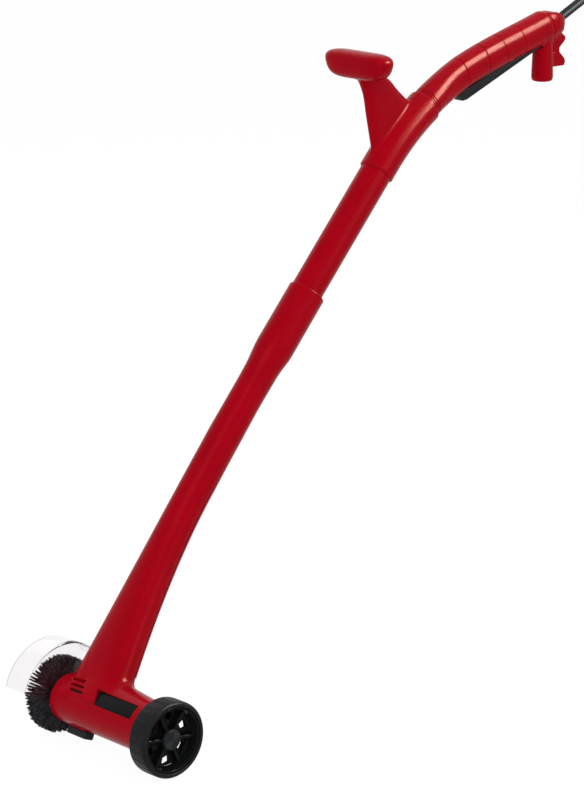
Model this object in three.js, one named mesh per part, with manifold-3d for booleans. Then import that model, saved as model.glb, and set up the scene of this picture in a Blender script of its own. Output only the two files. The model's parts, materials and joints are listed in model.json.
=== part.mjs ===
// Electric patio cleaner: a brush, a crosswise motor barrel and a wheel at the foot of a leaning stem.
// Millimetres and degrees. X runs back towards the user, Y towards the brush side, Z up.
// While it is built, the machine stands with the middle of its brush above the origin.

import * as THREE from 'three';
import { mergeVertices } from 'three/addons/utils/BufferGeometryUtils.js';
import Module from 'manifold-3d';

const wasm = await Module();
wasm.setup();
const degree = Math.PI / 180;
const round_count = 24; // sides of every round surface along the stem

// Shared sizes
const gap = 0.3; // between pieces that touch
const overrun = 8; // how far a cutting solid runs past the face that it cuts
const weld = 0.0005; // corners nearer than this are one
const smallest_detail = 0.12; // a finished surface is thinned out up to this deviation

// Brush
const brush_radius = 50;
const bristle_root_radius = 20;
const backing_thickness = 3.3;
const backing_half_width = 8.5;
const bristle_depth_in_backing = 1;
const bristle_root_thickness = 0.75;
const bristle_root_spread = 6.4;
const bristle_tip_spread = 9.3;
const bristle_unevenness = 1.6;
const hub_half_width = 9;
const clamp_flange_radius = 15;
const clamp_flange_thickness = 2.2;
const clamp_nut_radius = 7;
const clamp_nut_height = 5;

// Spindle and its bearings
const spindle_radius = 4;
const spindle_shoulder_radius = 6.4;
const spindle_thread_past_nut = 2;
const bearing_radius = 11;
const bearing_width = 7;
const bearing_spacing = 14.7;

// Clear guard
const guard_radius = 68;
const guard_wall = 1.6;
const guard_near_edge = 11.4; // from the brush's middle towards the barrel
const guard_far_edge = 25;
const guard_collar_radius = 27;
const guard_bore_radius = 9;
const guard_front_angle = 165 * degree;
const guard_rear_angle = 34 * degree;
const guard_screw_circle = 21.5;
const guard_screw_angle = 20 * degree;

// Motor barrel
const barrel_radius = 31;
const barrel_near_brush = 14; // from the brush's middle to the barrel's brush end
const barrel_length = 174;
const barrel_wall = 2.5;
const barrel_end_round = 5;
const shoulder_reach = 17;
const shoulder_radius = 28;
const shoulder_start = 72;

// Stem: its middle line is measured from the foot beside the spindle
const stem_side = 50; // the stem's middle plane, from the brush's middle
const stem_radius = 21;
const stem_forward = 7.8; // how far the stem's line passes in front of the spindle's
const stem_wall = 2.5;
const lower_lean = 38.7 * degree;
const upper_lean = 41 * degree;
const grip_lean = 72 * degree;
const lower_length = 492;
const upper_length = 303;
const grip_bend_radius = 352;
const flare_width = 52;
const flare_length = 289;
const flare_power_share = 1.6;
const socket_length = 102; // from the bend to the socket's mouth
const socket_radius = 23.5;
const socket_taper = 39;
const tube_insertion = 71;
const tube_wall = 2;

// Vents and name plate
const vent_length = 17;
const vent_width = 3.2;
const vent_step = 5;
const vent_offset = 50.5;
const vent_first_angle = 105 * degree;
const vent_angle_step = 15 * degree;
const plate_start = 97;
const plate_length = 72;
const plate_width = 17;
const plate_slant = 7;
const plate_thickness = 1.2;
const plate_angle = 124 * degree;

// Spindle lock
const lock_angle = -112 * degree;
const lock_travel = 3.6;
const lock_offset = 44.2;
const lock_cap_length = 35;
const lock_cap_width = 16;
const lock_cap_height = 6;
const lock_stem_radius = 4.2;
const lock_pin_radius = 2.2;
const lock_flange_radius = 5;
const lock_flange_thickness = 1.6;
const lock_notch_depth = 4.5;
const lock_spring_wall = 1.3;

// Planet gears
const gear_module = 1.5;
const sun_teeth = 6;
const planet_teeth = 12;
const ring_teeth = 30;
const gear_width = 12;
const ring_width = 8.2;
const planet_pin_radius = 2.2;
const carrier_offset = 44;
const carrier_radius = 22;
const carrier_thickness = 5;

// Motor
const motor_plate_offset = 66;
const motor_plate_thickness = 3;
const can_radius = 21.5;
const can_wall = 1.5;
const magnet_thickness = 3.6;
const armature_radius = 15.6;
const armature_slot_depth = 5;
const armature_slot_width = 2.6;
const shaft_radius = 2;
const commutator_radius = 6;
const commutator_length = 8;
const end_cap_thickness = 4;
const carbon_length = 8;
const carbon_size = 4;
const holder_thickness = 3.4;
const cradle_width = 3;
const board_thickness = 1.6;
const bridge_size = 12;
const bridge_height = 5;
const room_shares = { can: 0.4754, cradle: 0.4262, board: 0.6066, axle_boss: 0.2049 };
const can_shares = {
  magnet: 0.62, magnet_inset: 0.138, armature: 0.517, armature_inset: 0.19, commutator_inset: 0.776,
};

// Wheel and its axle
const wheel_radius = 48;
const wheel_clearance = 3.7; // from the barrel's end to the tyre
const wheel_width = 29.5;
const tyre_thickness = 6.2;
const tyre_round = 3;
const rim_wall = 4;
const rim_inset = 1.4;
const rim_hub_radius = 10.5;
const spoke_thickness = 4;
const web_inset = 11.5;
const web_thickness = 2.4;
const spoke_depth = 9.5;
const spoke_turn = -6 * degree;
const window_inner_radius = 22.5;
const window_outer_radius = 33;
const window_half_angle = 12 * degree;
const hub_cap_radius = 12.8;
const hub_cap_height = 4.5;
const axle_radius = 4;
const axle_head_radius = 6.8;
const axle_head_height = 5.5;
const axle_boss_radius = 9;
const axle_past_hub = 3;

// Auxiliary handle: places along and out from the stem's line, at the fin's station
const sleeve_below_end = 35; // the sleeve starts this far below the tube's end
const sleeve_length = 118;
const sleeve_radius = 23.4;
const fin_station = 56;
const fin_base_rise = 17;
const fin_base_half_length = 39;
const fin_half_thickness = 8;
const fin_middle_along = 11.3;
const fin_middle_out = 54;
const fin_middle_half_length = 24;
const fin_top_along = 20.3;
const fin_top_out = 102;
const fin_top_half_length = 13.5;
const cross_grip_along = 19.6;
const cross_grip_out = 120;
const cross_grip_half_length = 57;
const cross_grip_half_depth = 17;
const cross_grip_half_height = 17;
const cross_grip_wall = 3;
const cross_grip_slant_share = 0.24; // how much shorter its underside is

// Rear grip
const tube_past_bend = 18; // the middle tube's end, past the start of the grip's bend
const grip_length = 351;
const grip_half_width = 17;
const grip_half_height = 21.5;
const grip_wall = 2.6;
const grip_blend = 60;
const grip_end_round = 22;
const grip_end_sink = 4; // the end's middle lies this far below the grip's line
const spigot_length = 24;
const spigot_wall = 2;
const post_from_end = 33;
const post_radius = 13.7;
const post_drop = 74;
const hook_half_thickness = 7;
const hook_depth = 28;
const hook_tip_depth = 38;
const hook_top = 2;
const hook_upper_tip = 20;
const hook_waist = 33;
const hook_lower_tip = 50;
const hook_bottom = 56;

// Switch lever and switch
const lever_start_past_tube = 149;
const lever_end_past_tube = 307;
const lever_half_width = 9;
const lever_top = 14;
const lever_front_drop = 30.5;
const lever_rear_drop = 20.5;
const pivot_past_tube = 299;
const pivot_drop = 16;
const pin_radius = 1.6;
const pin_half_length = 13;
const pivot_boss_radius = 4.4;
const slot_clearance = 0.6;
const switch_past_tube = 240;
const switch_half_length = 17;
const switch_half_width = 7.5;
const switch_bottom = 4;
const switch_top = 11;
const plunger_radius = 2.2;
const plunger_in_switch = 5;
const capacitor_past_switch = 31; // from the middle of the switch to that of the capacitor
const capacitor_half_length = 10;
const capacitor_top = 7.5;
const shelf_low = 3;
const shelf_high = 6;
const spring_past_tube = 171;
const spring_radius = 4;
const spring_wall = 1.2;
const spring_ceiling = 5;
const ledge_thickness = 2.5;

// Leads
const lead_radius = 3;
const clamp_past_tube = 317;
const clamp_half_length = 5;
const clamp_half_width = 13;
const clamp_low = 5;
const clamp_lead_height = 4;
const clamp_high = 18.4;
const relief_root_radius = 5.8;
const relief_tip_radius = 4.5;
const relief_length = 50;
const relief_collar_radius = 8;
const relief_collar_depth = 4.6; // from the grip's end to the collar inside it
const relief_collar_length = 3;
const relief_rise = 24.6 * degree;
const cord_radius = 3.5;
const plug_body_radius = 18;
const plug_neck_radius = 6;
const plug_length = 36;
const plug_face_length = 14;
const plug_pin_radius = 2.4;
const plug_pin_length = 19;
const plug_pin_spacing = 19;

// Screws
const screw_radius = 1.5;
const screw_head_radius = 3.2;
const screw_head_height = 2;
const screw_boss_wall = 2;
const stem_screw_side = 10.5;
const stem_screw_stations = [lower_length / 3.2, lower_length / 1.08];
const barrel_screw_inset = 12; // from the barrel's wheel end
const barrel_screw_out = 19;
const grip_screw_past_tube = 122;
const fin_screw_out = 62;
const fin_screw_along = 14;
const guard_screw_length = 10;

// Values worked out from the sizes above
const wheel_start = barrel_near_brush + barrel_length + wheel_clearance;
const barrel_screw_offset = barrel_near_brush + barrel_length - barrel_screw_inset;
const axle_height = brush_radius;
const motor_room = barrel_near_brush + barrel_length - motor_plate_offset;
const can_length = room_shares.can * motor_room;
const magnet_length = can_shares.magnet * can_length;
const magnet_inset = can_shares.magnet_inset * can_length;
const armature_length = can_shares.armature * can_length;
const armature_inset = can_shares.armature_inset * can_length;
const commutator_inset = can_shares.commutator_inset * can_length;
const cradle_offset = motor_plate_offset + room_shares.cradle * motor_room;
const board_offset = motor_plate_offset + room_shares.board * motor_room;
const axle_boss_length = room_shares.axle_boss * motor_room;
const barrel_start = -barrel_near_brush;
const barrel_end = barrel_start - barrel_length;
const barrel_bore = barrel_radius - barrel_wall;
const stem_y = -stem_side;
const gear_orbit = (gear_module * (sun_teeth + planet_teeth)) / 2;
const bend_start = lower_length + upper_length;
const tube_end = bend_start + tube_past_bend;
const sleeve_start = tube_end - sleeve_below_end;
const sleeve_end = sleeve_start + sleeve_length;
const grip_end = tube_end + grip_length;
const lever_start = tube_end + lever_start_past_tube;
const lever_end = tube_end + lever_end_past_tube;
const pivot_station = tube_end + pivot_past_tube;
const switch_station = tube_end + switch_past_tube;
const capacitor_station = switch_station + capacitor_past_switch;
const spring_station = tube_end + spring_past_tube;
const clamp_station = tube_end + clamp_past_tube;
const grip_screw_station = tube_end + grip_screw_past_tube;
const spindle_axis = new THREE.Vector3(0, 0, axle_height);

// Solids: closed meshes go in and out of the boolean library here
function solidOf(geometry) {
  const bare = geometry.clone();
  bare.deleteAttribute('normal');
  bare.deleteAttribute('uv');
  const merged = mergeVertices(bare, weld);
  const corners = merged.index.array;
  const kept = [];
  for (let i = 0; i < corners.length; i += 3) {
    const [a, b, c] = [corners[i], corners[i + 1], corners[i + 2]];
    if (a !== b && b !== c && c !== a) kept.push(a, b, c);
  }
  const build = (order) => new wasm.Manifold(new wasm.Mesh({
    numProp: 3,
    vertProperties: new Float32Array(merged.attributes.position.array),
    triVerts: new Uint32Array(order),
  }));
  const solid = build(kept);
  if (solid.volume() > 0) return solid;
  return build(kept.reverse());
}

function geometryOf(solid) {
  const mesh = solid.simplify(smallest_detail).getMesh();
  const geometry = new THREE.BufferGeometry();
  geometry.setAttribute('position', new THREE.BufferAttribute(new Float32Array(mesh.vertProperties), 3));
  geometry.setIndex(new THREE.BufferAttribute(new Uint32Array(mesh.triVerts), 1));
  geometry.computeVertexNormals();
  return geometry;
}

const join = (...solids) => solids.reduce((sum, solid) => sum.add(solid));
const cut = (solid, ...cutters) => cutters.reduce((rest, cutter) => rest.subtract(cutter), solid);

// A solid turned about the Y axis through a centre; the profile is a list of [radius, y]
function turned(profile, segments, centre = spindle_axis) {
  const points = profile.map(([radius, y]) => new THREE.Vector2(radius, y));
  const geometry = new THREE.LatheGeometry(points, segments);
  geometry.translate(centre.x, 0, centre.z);
  return solidOf(geometry);
}

// A plain round bar along Y
function barAlongY(radius, y_low, y_high, segments, centre = spindle_axis) {
  return turned([[0, y_low], [radius, y_low], [radius, y_high], [0, y_high]], segments, centre);
}

// A ring along Y, open in the middle
function ringAlongY(inner, outer, y_low, y_high, segments, centre = spindle_axis) {
  return turned(
    [[inner, y_low], [outer, y_low], [outer, y_high], [inner, y_high], [inner, y_low]],
    segments, centre,
  );
}

// A flat outline of X and Z, drawn about a centre and given a thickness along Y
function plateAlongY(shape, y_low, y_high, centre = spindle_axis, curve_steps = 12) {
  const geometry = new THREE.ExtrudeGeometry(shape, {
    depth: y_high - y_low, bevelEnabled: false, curveSegments: curve_steps,
  });
  geometry.rotateX(Math.PI / 2);
  geometry.translate(centre.x, y_high, centre.z);
  return solidOf(geometry);
}

function outlineOf(points) {
  return new THREE.Shape(points.map(([x, z]) => new THREE.Vector2(x, z)));
}

// A closed skin over rings of points that all have the same count
function loft(rings) {
  const count = rings[0].length;
  const points = rings.flat();
  const faces = [];
  for (let r = 0; r + 1 < rings.length; r++) {
    for (let i = 0; i < count; i++) {
      const a = r * count + i;
      const b = r * count + ((i + 1) % count);
      faces.push(a, b, b + count, a, b + count, a + count);
    }
  }
  const last = (rings.length - 1) * count;
  for (let i = 1; i + 1 < count; i++) {
    faces.push(0, i + 1, i);
    faces.push(last, last + i, last + i + 1);
  }
  const geometry = new THREE.BufferGeometry().setFromPoints(points);
  geometry.setIndex(faces);
  return solidOf(geometry);
}

// A ring of points between an ellipse (power 2) and a rounded box (higher powers)
function ovalRing(centre, side, up, half_side, half_up, count, power = 2) {
  return Array.from({ length: count }, (_, i) => {
    const angle = (i * 2 * Math.PI) / count;
    const [c, s] = [Math.cos(angle), Math.sin(angle)];
    const reach_side = Math.sign(c) * Math.abs(c) ** (2 / power) * half_side;
    const reach_up = Math.sign(s) * Math.abs(s) ** (2 / power) * half_up;
    return centre.clone().addScaledVector(side, reach_side).addScaledVector(up, reach_up);
  });
}

// The stem's middle line: two straights, the grip's bend, and its straight tail
const along = (lean) => new THREE.Vector3(Math.sin(lean), 0, Math.cos(lean));
const outward = (lean) => new THREE.Vector3(-Math.cos(lean), 0, Math.sin(lean));
const side = new THREE.Vector3(0, 1, 0);
const stem_foot = spindle_axis.clone().addScaledVector(outward(lower_lean), stem_forward).setY(stem_y);
const bend_point = stem_foot.clone().addScaledVector(along(lower_lean), lower_length);
const curve_start = bend_point.clone().addScaledVector(along(upper_lean), upper_length);
const curve_length = grip_bend_radius * (grip_lean - upper_lean);
const curve_centre = curve_start.clone().addScaledVector(outward(upper_lean), -grip_bend_radius);
const curve_end = curve_centre.clone().addScaledVector(outward(grip_lean), grip_bend_radius);

// The bend is a chain of short straights, so that all that is swept along the stem fits together
const bend_steps = 6;
const stem_tail = bend_start + curve_length + grip_length;
const stem_knots = [
  { station: -barrel_length, point: stem_foot.clone().addScaledVector(along(lower_lean), -barrel_length) },
  { station: lower_length, point: bend_point },
  ...Array.from({ length: bend_steps + 1 }, (_, i) => {
    const station = bend_start + (i / bend_steps) * curve_length;
    const point = curve_centre.clone().addScaledVector(outward(leanAt(station)), grip_bend_radius);
    return { station, point };
  }),
  {
    station: stem_tail,
    point: curve_end.clone().addScaledVector(along(grip_lean), stem_tail - bend_start - curve_length),
  },
];

function leanAt(station) {
  if (station < lower_length) return lower_lean;
  if (station === lower_length) return (lower_lean + upper_lean) / 2;
  const share = Math.min(1, Math.max(0, (station - bend_start) / curve_length));
  return upper_lean + share * (grip_lean - upper_lean);
}

function stemFrame(station) {
  const next = stem_knots.findIndex((knot) => knot.station > station);
  const [from, to] = [stem_knots[next - 1], stem_knots[next]];
  const share = (station - from.station) / (to.station - from.station);
  return { point: from.point.clone().lerp(to.point, share), lean: leanAt(station) };
}

// A point at a station of the stem's line, out from it and to its side
function stemPoint(station, out = 0, aside = 0) {
  const { point, lean } = stemFrame(station);
  return point.addScaledVector(outward(lean), out).addScaledVector(side, aside);
}

// A solid along the stem's line; section gives the half sizes at a station
function sweep(stations, section, count) {
  return loft(stations.map((station) => {
    const { wide, deep, shift = 0, sink = 0, power = 2 } = section(station);
    const { point, lean } = stemFrame(station);
    point.addScaledVector(side, shift).addScaledVector(outward(lean), -sink);
    return ovalRing(point, side, outward(lean), wide, deep, count, power);
  }));
}

// Two stations, the knots between them and others that are asked for
function stationsBetween(start, end, ...others) {
  const inside = [...stem_knots.map((knot) => knot.station), ...others]
    .filter((station) => station > start + gap && station < end - gap);
  return [start, ...inside.sort((a, b) => a - b), end];
}

// A box in the stem's own directions, between two stations, two heights out from it and two sides
function stemBox(start, end, low, high, side_low, side_high) {
  const corners = (station) => [
    stemPoint(station, low, side_low), stemPoint(station, low, side_high),
    stemPoint(station, high, side_high), stemPoint(station, high, side_low),
  ];
  return loft([corners(start), corners(end)]);
}

// A round bar between two points
function barBetween(from, to, radius, segments, tip_radius = radius) {
  const run = to.clone().sub(from);
  const geometry = new THREE.CylinderGeometry(tip_radius, radius, run.length(), segments);
  geometry.applyQuaternion(new THREE.Quaternion().setFromUnitVectors(side, run.clone().normalize()));
  geometry.translate(...from.clone().add(to).multiplyScalar(0.5).toArray());
  return solidOf(geometry);
}

// A screw from its head's outer face towards a point; its tip lies a given length away
function screwBetween(head, tip) {
  const direction = tip.clone().sub(head).normalize();
  const under_head = head.clone().addScaledVector(direction, screw_head_height);
  return join(
    barBetween(head, under_head, screw_head_radius, 10),
    barBetween(head.clone().addScaledVector(direction, screw_head_height / 2), tip, screw_radius, 6),
  );
}

// Barrel and lower stem: one hollow body, cut in two shells along the plane of the spindle and the stem
function flareAt(station) {
  const left = Math.max(0, (flare_length - station) / flare_length);
  return flare_width * left ** flare_power_share;
}

function lowerSection(grow) {
  return (station) => {
    const flare = flareAt(station);
    const past_taper = Math.max(0, station - lower_length + socket_taper / 2);
    const swell = (socket_radius - stem_radius) * Math.min(1, past_taper / socket_taper);
    return {
      wide: stem_radius + flare / 2 + swell + grow,
      deep: stem_radius + swell + grow,
      shift: -flare / 2,
      power: 2 + (0.9 * flare) / flare_width,
    };
  };
}

function barrelBody(grow) {
  const radius = barrel_radius + grow;
  const [near, far] = [barrel_start + grow, barrel_end - grow];
  if (grow < 0) return turned([[0, far], [radius, far], [radius, near], [0, near]], 28);
  const round = barrel_end_round;
  return turned([
    [0, far], [radius - round, far], [radius - round / 4, far + round / 2], [radius, far + round],
    [radius, near - round], [radius - round, near], [0, near],
  ], 36);
}

function shoulderBody(grow) {
  const rise = along(lower_lean);
  const last = barrel_end + barrel_end_round - grow;
  return loft([0, 0.4, 1].map((share) => {
    const y = -shoulder_start + share * (last + shoulder_start);
    const reach = shoulder_reach * (1 - share) + (barrel_radius - shoulder_radius) * share * 0.5;
    const centre = spindle_axis.clone().addScaledVector(rise, reach).setY(y);
    const radius = shoulder_radius + grow;
    return ovalRing(centre, along(lower_lean), outward(lower_lean), radius, radius, 16);
  }));
}

function lowerBody() {
  const mouth = lower_length + socket_length;
  const taper_start = lower_length - socket_taper / 2;
  const flare_stations = [0, 0.2, 0.42, 0.68, 1].map((share) => share * flare_length);
  const outer_stations = [...flare_stations, taper_start, taper_start + socket_taper, mouth];
  const inner_stations = [...flare_stations, mouth - tube_insertion - gap];
  const outer = join(barrelBody(0), shoulderBody(0), sweep(outer_stations, lowerSection(0), round_count));
  const hollow = join(
    barrelBody(-barrel_wall),
    shoulderBody(-barrel_wall),
    sweep(inner_stations, (station) => {
      const { shift, power } = lowerSection(0)(station);
      const inside = stem_radius - stem_wall;
      return { wide: inside + flareAt(station) / 2, deep: inside, shift, power };
    }, 16),
    sweep(
      [mouth - tube_insertion - gap - weld, mouth + overrun],
      () => ({ wide: stem_radius + gap, deep: stem_radius + gap }), round_count,
    ),
  );
  return cut(outer, hollow);
}

const wheel_axis = new THREE.Vector3(0, 0, wheel_radius);
const bearing_start = barrel_start - barrel_wall - gap;
const second_bearing_start = bearing_start - bearing_spacing;
const lock_out = new THREE.Vector3(Math.cos(lock_angle), 0, Math.sin(lock_angle));
const rib_radius = barrel_bore + barrel_wall / 2;
const lead_side = stem_y - flare_width * 0.62;

function barrelRibs() {
  const seat = bearing_radius + gap;
  const front_seat = ringAlongY(
    seat, seat + screw_boss_wall, bearing_start - bearing_width, bearing_start + barrel_wall / 2, 16,
  );
  const second_seat = ringAlongY(
    seat, rib_radius, second_bearing_start - bearing_width, second_bearing_start, 16,
  );
  const cradle = ringAlongY(
    can_radius + 2 * gap, rib_radius, -cradle_offset - cradle_width, -cradle_offset, 24,
  );
  const axle_boss = barAlongY(
    axle_boss_radius, barrel_end + barrel_wall / 2, barrel_end + axle_boss_length, 12, wheel_axis,
  );
  return join(front_seat, second_seat, cradle, axle_boss);
}

const barrel_lead_point = (y) => new THREE.Vector3(0, y, axle_height)
  .addScaledVector(along(lower_lean), barrel_bore - lead_radius + shoulder_reach / 9);

function barrelCutters() {
  const vents = [0, 1, 2].map((i) => {
    const angle = vent_first_angle + i * vent_angle_step;
    const out = new THREE.Vector3(Math.cos(angle), 0, Math.sin(angle));
    const across = new THREE.Vector3(-Math.sin(angle), 0, Math.cos(angle));
    const middle = spindle_axis.clone().setY(-vent_offset - i * vent_step);
    const ends = [barrel_radius - overrun / 2, barrel_radius + overrun].map((reach) => ovalRing(
      middle.clone().addScaledVector(out, reach), side, across,
      vent_length / 2, vent_width / 2, 8, 6,
    ));
    return loft(ends);
  });
  const screw_holes = [guard_screw_angle, guard_screw_angle + Math.PI].map((angle) => barAlongY(
    screw_radius + gap, barrel_start - barrel_wall - overrun / 2, barrel_start + overrun, 8,
    guardScrewCentre(angle),
  ));
  const lock_hole = barBetween(
    spindle_axis.clone().setY(-lock_offset).addScaledVector(lock_out, barrel_radius - overrun / 2),
    spindle_axis.clone().setY(-lock_offset).addScaledVector(lock_out, barrel_radius + overrun),
    lock_stem_radius + gap, 12,
  );
  const lead_way = barBetween(
    barrel_lead_point(-cradle_offset + cradle_width), barrel_lead_point(-cradle_offset - 2 * cradle_width),
    lead_radius + 6 * gap, 10,
  );
  return [
    barAlongY(spindle_shoulder_radius + 2 * gap, barrel_start - overrun, barrel_start + overrun, 16),
    barAlongY(
      axle_radius + gap, barrel_end - overrun, barrel_end + axle_boss_length + overrun, 12, wheel_axis,
    ),
    ...vents, ...screw_holes, lock_hole, lead_way,
  ];
}

function guardScrewCentre(angle) {
  return spindle_axis.clone()
    .add(new THREE.Vector3(Math.cos(angle), 0, Math.sin(angle)).multiplyScalar(guard_screw_circle));
}

// Screws through the two shells run square to their parting plane
const lower_screws = [
  ...stem_screw_stations.map((station) => ({
    middle: stemPoint(station, -stem_forward, stem_screw_side),
    rear: stem_radius - stem_forward,
    front: stem_radius + stem_forward,
  })),
  {
    middle: spindle_axis.clone().addScaledVector(along(lower_lean), barrel_screw_out)
      .setY(-barrel_screw_offset),
    rear: Math.sqrt(barrel_radius ** 2 - barrel_screw_out ** 2),
    front: Math.sqrt(barrel_radius ** 2 - barrel_screw_out ** 2),
  },
];

function lowerScrew({ middle, rear }) {
  const back = outward(lower_lean).negate();
  const head = middle.clone().addScaledVector(back, rear - screw_boss_wall - screw_head_height);
  return screwBetween(head, middle.clone().addScaledVector(back, -overrun));
}

function lowerScrewBosses() {
  const out = outward(lower_lean);
  return lower_screws.map(({ middle, rear, front }) => barBetween(
    middle.clone().addScaledVector(out, -rear + stem_wall / 2),
    middle.clone().addScaledVector(out, front - stem_wall * 2),
    screw_head_radius + screw_boss_wall, 10,
  ));
}

function lowerScrewHoles() {
  const out = outward(lower_lean);
  return lower_screws.flatMap(({ middle, rear }) => {
    const seat = rear - screw_boss_wall - screw_head_height * 2 - gap;
    return [
      barBetween(
        middle.clone().addScaledVector(out, -seat),
        middle.clone().addScaledVector(out, -rear - overrun), screw_head_radius + gap, 10,
      ),
      barBetween(
        middle.clone().addScaledVector(out, overrun + gap),
        middle.clone().addScaledVector(out, -rear), screw_radius + 1.5 * gap, 6,
      ),
    ];
  });
}

// A large block on one side of the parting plane
function partingBlock(sign) {
  const out = outward(lower_lean).multiplyScalar(sign);
  const reach = lower_length + socket_length + barrel_length;
  const middle = spindle_axis.clone().setY(stem_y).addScaledVector(out, gap / 2);
  const corner = (share, rise, y) => middle.clone().addScaledVector(out, share * barrel_length)
    .addScaledVector(along(lower_lean), rise).setY(y);
  const ring = (rise) => [
    corner(0, rise, barrel_length), corner(1, rise, barrel_length),
    corner(1, rise, -2 * barrel_length), corner(0, rise, -2 * barrel_length),
  ];
  return loft([ring(-barrel_length), ring(reach)]);
}

function lowerShells() {
  const inside = join(barrelRibs(), ...lowerScrewBosses());
  const plate_pocket = namePlateSolid(gap);
  const whole = cut(
    join(lowerBody(), inside), ...barrelCutters(), ...lowerScrewHoles(), plate_pocket,
  );
  return { front: whole.intersect(partingBlock(1)), rear: whole.intersect(partingBlock(-1)) };
}

// Name plate: a bare plate with one slanted end, let into the barrel's front
function namePlateSolid(grow) {
  const out = new THREE.Vector3(Math.cos(plate_angle), 0, Math.sin(plate_angle));
  const across = new THREE.Vector3(-Math.sin(plate_angle), 0, Math.cos(plate_angle));
  const half = plate_width / 2 + grow;
  const corner = (reach, up, y) => spindle_axis.clone().setY(y)
    .addScaledVector(out, reach).addScaledVector(across, up);
  const face = barrel_radius - half ** 2 / (2 * barrel_radius) + plate_thickness;
  const low_start = -plate_start + grow;
  const low_end = -plate_start - plate_length - grow;
  const ring = (reach) => [
    corner(reach, -half, low_start), corner(reach, half, low_start - plate_slant),
    corner(reach, half, low_end), corner(reach, -half, low_end),
  ];
  return loft([ring(face - plate_thickness - grow), ring(face + (grow > 0 ? overrun : 0))]);
}

// Brush: four quarters of a backing ring, each with its strands fused to it
const bristle_rows = 5;
const bristle_columns = 14;
const quarters = 4;
const backing_faces = 5; // flat faces of one quarter, each with its own columns of strands
const backing_inner_radius = bristle_root_radius - backing_thickness;
const face_angle = (2 * Math.PI) / (quarters * backing_faces);

function bristleQuarter(index) {
  const quarter_angle = (2 * Math.PI) / quarters;
  const start = index * quarter_angle;
  const trim = gap / 2 / bristle_root_radius;
  const edges = Array.from({ length: backing_faces + 1 }, (_, i) => (
    Math.min(Math.max(start + i * face_angle, start + trim), start + quarter_angle - trim)
  ));
  const backing = outlineOf([
    ...edges.map((angle) => [bristle_root_radius * Math.cos(angle), bristle_root_radius * Math.sin(angle)]),
    ...edges.reverse().map((angle) => (
      [backing_inner_radius * Math.cos(angle), backing_inner_radius * Math.sin(angle)]
    )),
  ]);
  const strands = [];
  const corners = 3;
  for (let row = 0; row < bristle_rows; row++) {
    for (let column = 0; column < bristle_columns; column++) {
      const across = (row / (bristle_rows - 1)) * 2 - 1;
      const stagger = row % 2 ? 0.45 : 0.55;
      const angle = start + (quarter_angle * (column + stagger)) / bristle_columns;
      const out = new THREE.Vector3(Math.cos(angle), 0, Math.sin(angle));
      const uneven = Math.abs(Math.sin(7 * row + 3 * (column + bristle_columns * index)));
      const tip = brush_radius - bristle_unevenness * uneven;
      const root = bristle_root_radius - bristle_depth_in_backing;
      strands.push(barBetween(
        spindle_axis.clone().addScaledVector(out, root).setY(across * bristle_root_spread),
        spindle_axis.clone().addScaledVector(out, tip).setY(across * bristle_tip_spread),
        bristle_root_thickness, corners, 0,
      ));
    }
  }
  return join(plateAlongY(backing, -backing_half_width, backing_half_width), ...strands);
}

function brushHub() {
  const outer = backing_inner_radius * Math.cos(face_angle / 2) - gap;
  return ringAlongY(spindle_radius + gap, outer, -hub_half_width, hub_half_width, 20);
}

function clampFlange() {
  const start = hub_half_width + gap;
  const rim = start + clamp_flange_thickness;
  return turned([
    [spindle_radius + gap, start], [clamp_flange_radius, start],
    [clamp_flange_radius, start + clamp_flange_thickness / 2], [clamp_flange_radius * 0.8, rim],
    [spindle_radius + gap, rim], [spindle_radius + gap, start],
  ], 18);
}

const nut_start = hub_half_width + clamp_flange_thickness + 2 * gap;

function clampNut() {
  const end = nut_start + clamp_nut_height;
  return cut(
    barAlongY(clamp_nut_radius, nut_start, end, 6),
    barAlongY(spindle_radius + gap, nut_start - overrun, end + overrun, 16),
  );
}

function spindle() {
  const tip = nut_start + clamp_nut_height + spindle_thread_past_nut;
  const shoulder = -hub_half_width - gap;
  const tail = -carrier_offset - carrier_thickness;
  return turned([
    [0, tail], [spindle_radius, tail], [spindle_radius, bearing_start + gap],
    [spindle_shoulder_radius, bearing_start + gap], [spindle_shoulder_radius, shoulder],
    [spindle_radius, shoulder], [spindle_radius, tip], [0, tip],
  ], 16);
}

function bearing(start) {
  return ringAlongY(spindle_radius + gap, bearing_radius, start - bearing_width, start, 16);
}

// Guard: a clear band round the brush on a flat collar that is screwed to the barrel's end
function brushGuard() {
  const near = -guard_near_edge;
  const band = new THREE.Shape();
  band.absarc(0, 0, guard_radius, guard_rear_angle, guard_front_angle, false);
  band.absarc(0, 0, guard_radius - guard_wall, guard_front_angle, guard_rear_angle, true);
  const collar = new THREE.Shape();
  const lap = Math.PI / 8; // how far the collar's round part runs under the band's ends
  const round_end = guard_rear_angle - lap + 2 * Math.PI;
  collar.absarc(0, 0, guard_radius - guard_wall / 2, guard_rear_angle, guard_front_angle, false);
  collar.absarc(0, 0, guard_collar_radius, guard_front_angle + lap, round_end, false);
  const sheet = plateAlongY(collar, near - guard_wall, near, spindle_axis, 12);
  const holes = [guard_screw_angle, guard_screw_angle + Math.PI].map((angle) => barAlongY(
    screw_radius + gap, near - overrun, near + overrun, 8, guardScrewCentre(angle),
  ));
  return cut(
    join(plateAlongY(band, near - guard_wall, guard_far_edge, spindle_axis, 12), sheet),
    barAlongY(guard_bore_radius, near - overrun, near + overrun, 16),
    ...holes,
  );
}

function guardScrew(angle) {
  const centre = guardScrewCentre(angle);
  const under = -guard_near_edge + gap;
  return join(
    barAlongY(screw_head_radius, under, under + screw_head_height / 2, 10, centre),
    barAlongY(screw_radius, under - guard_screw_length, under + screw_head_height / 4, 6, centre),
  );
}

// Gears: thin straight-sided teeth that mesh with room on both flanks
const tooth_shares = { tip: 0.12, pitch: 0.2, root: 0.29, tip_height: 0.8, root_depth: 1.1 };

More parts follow.
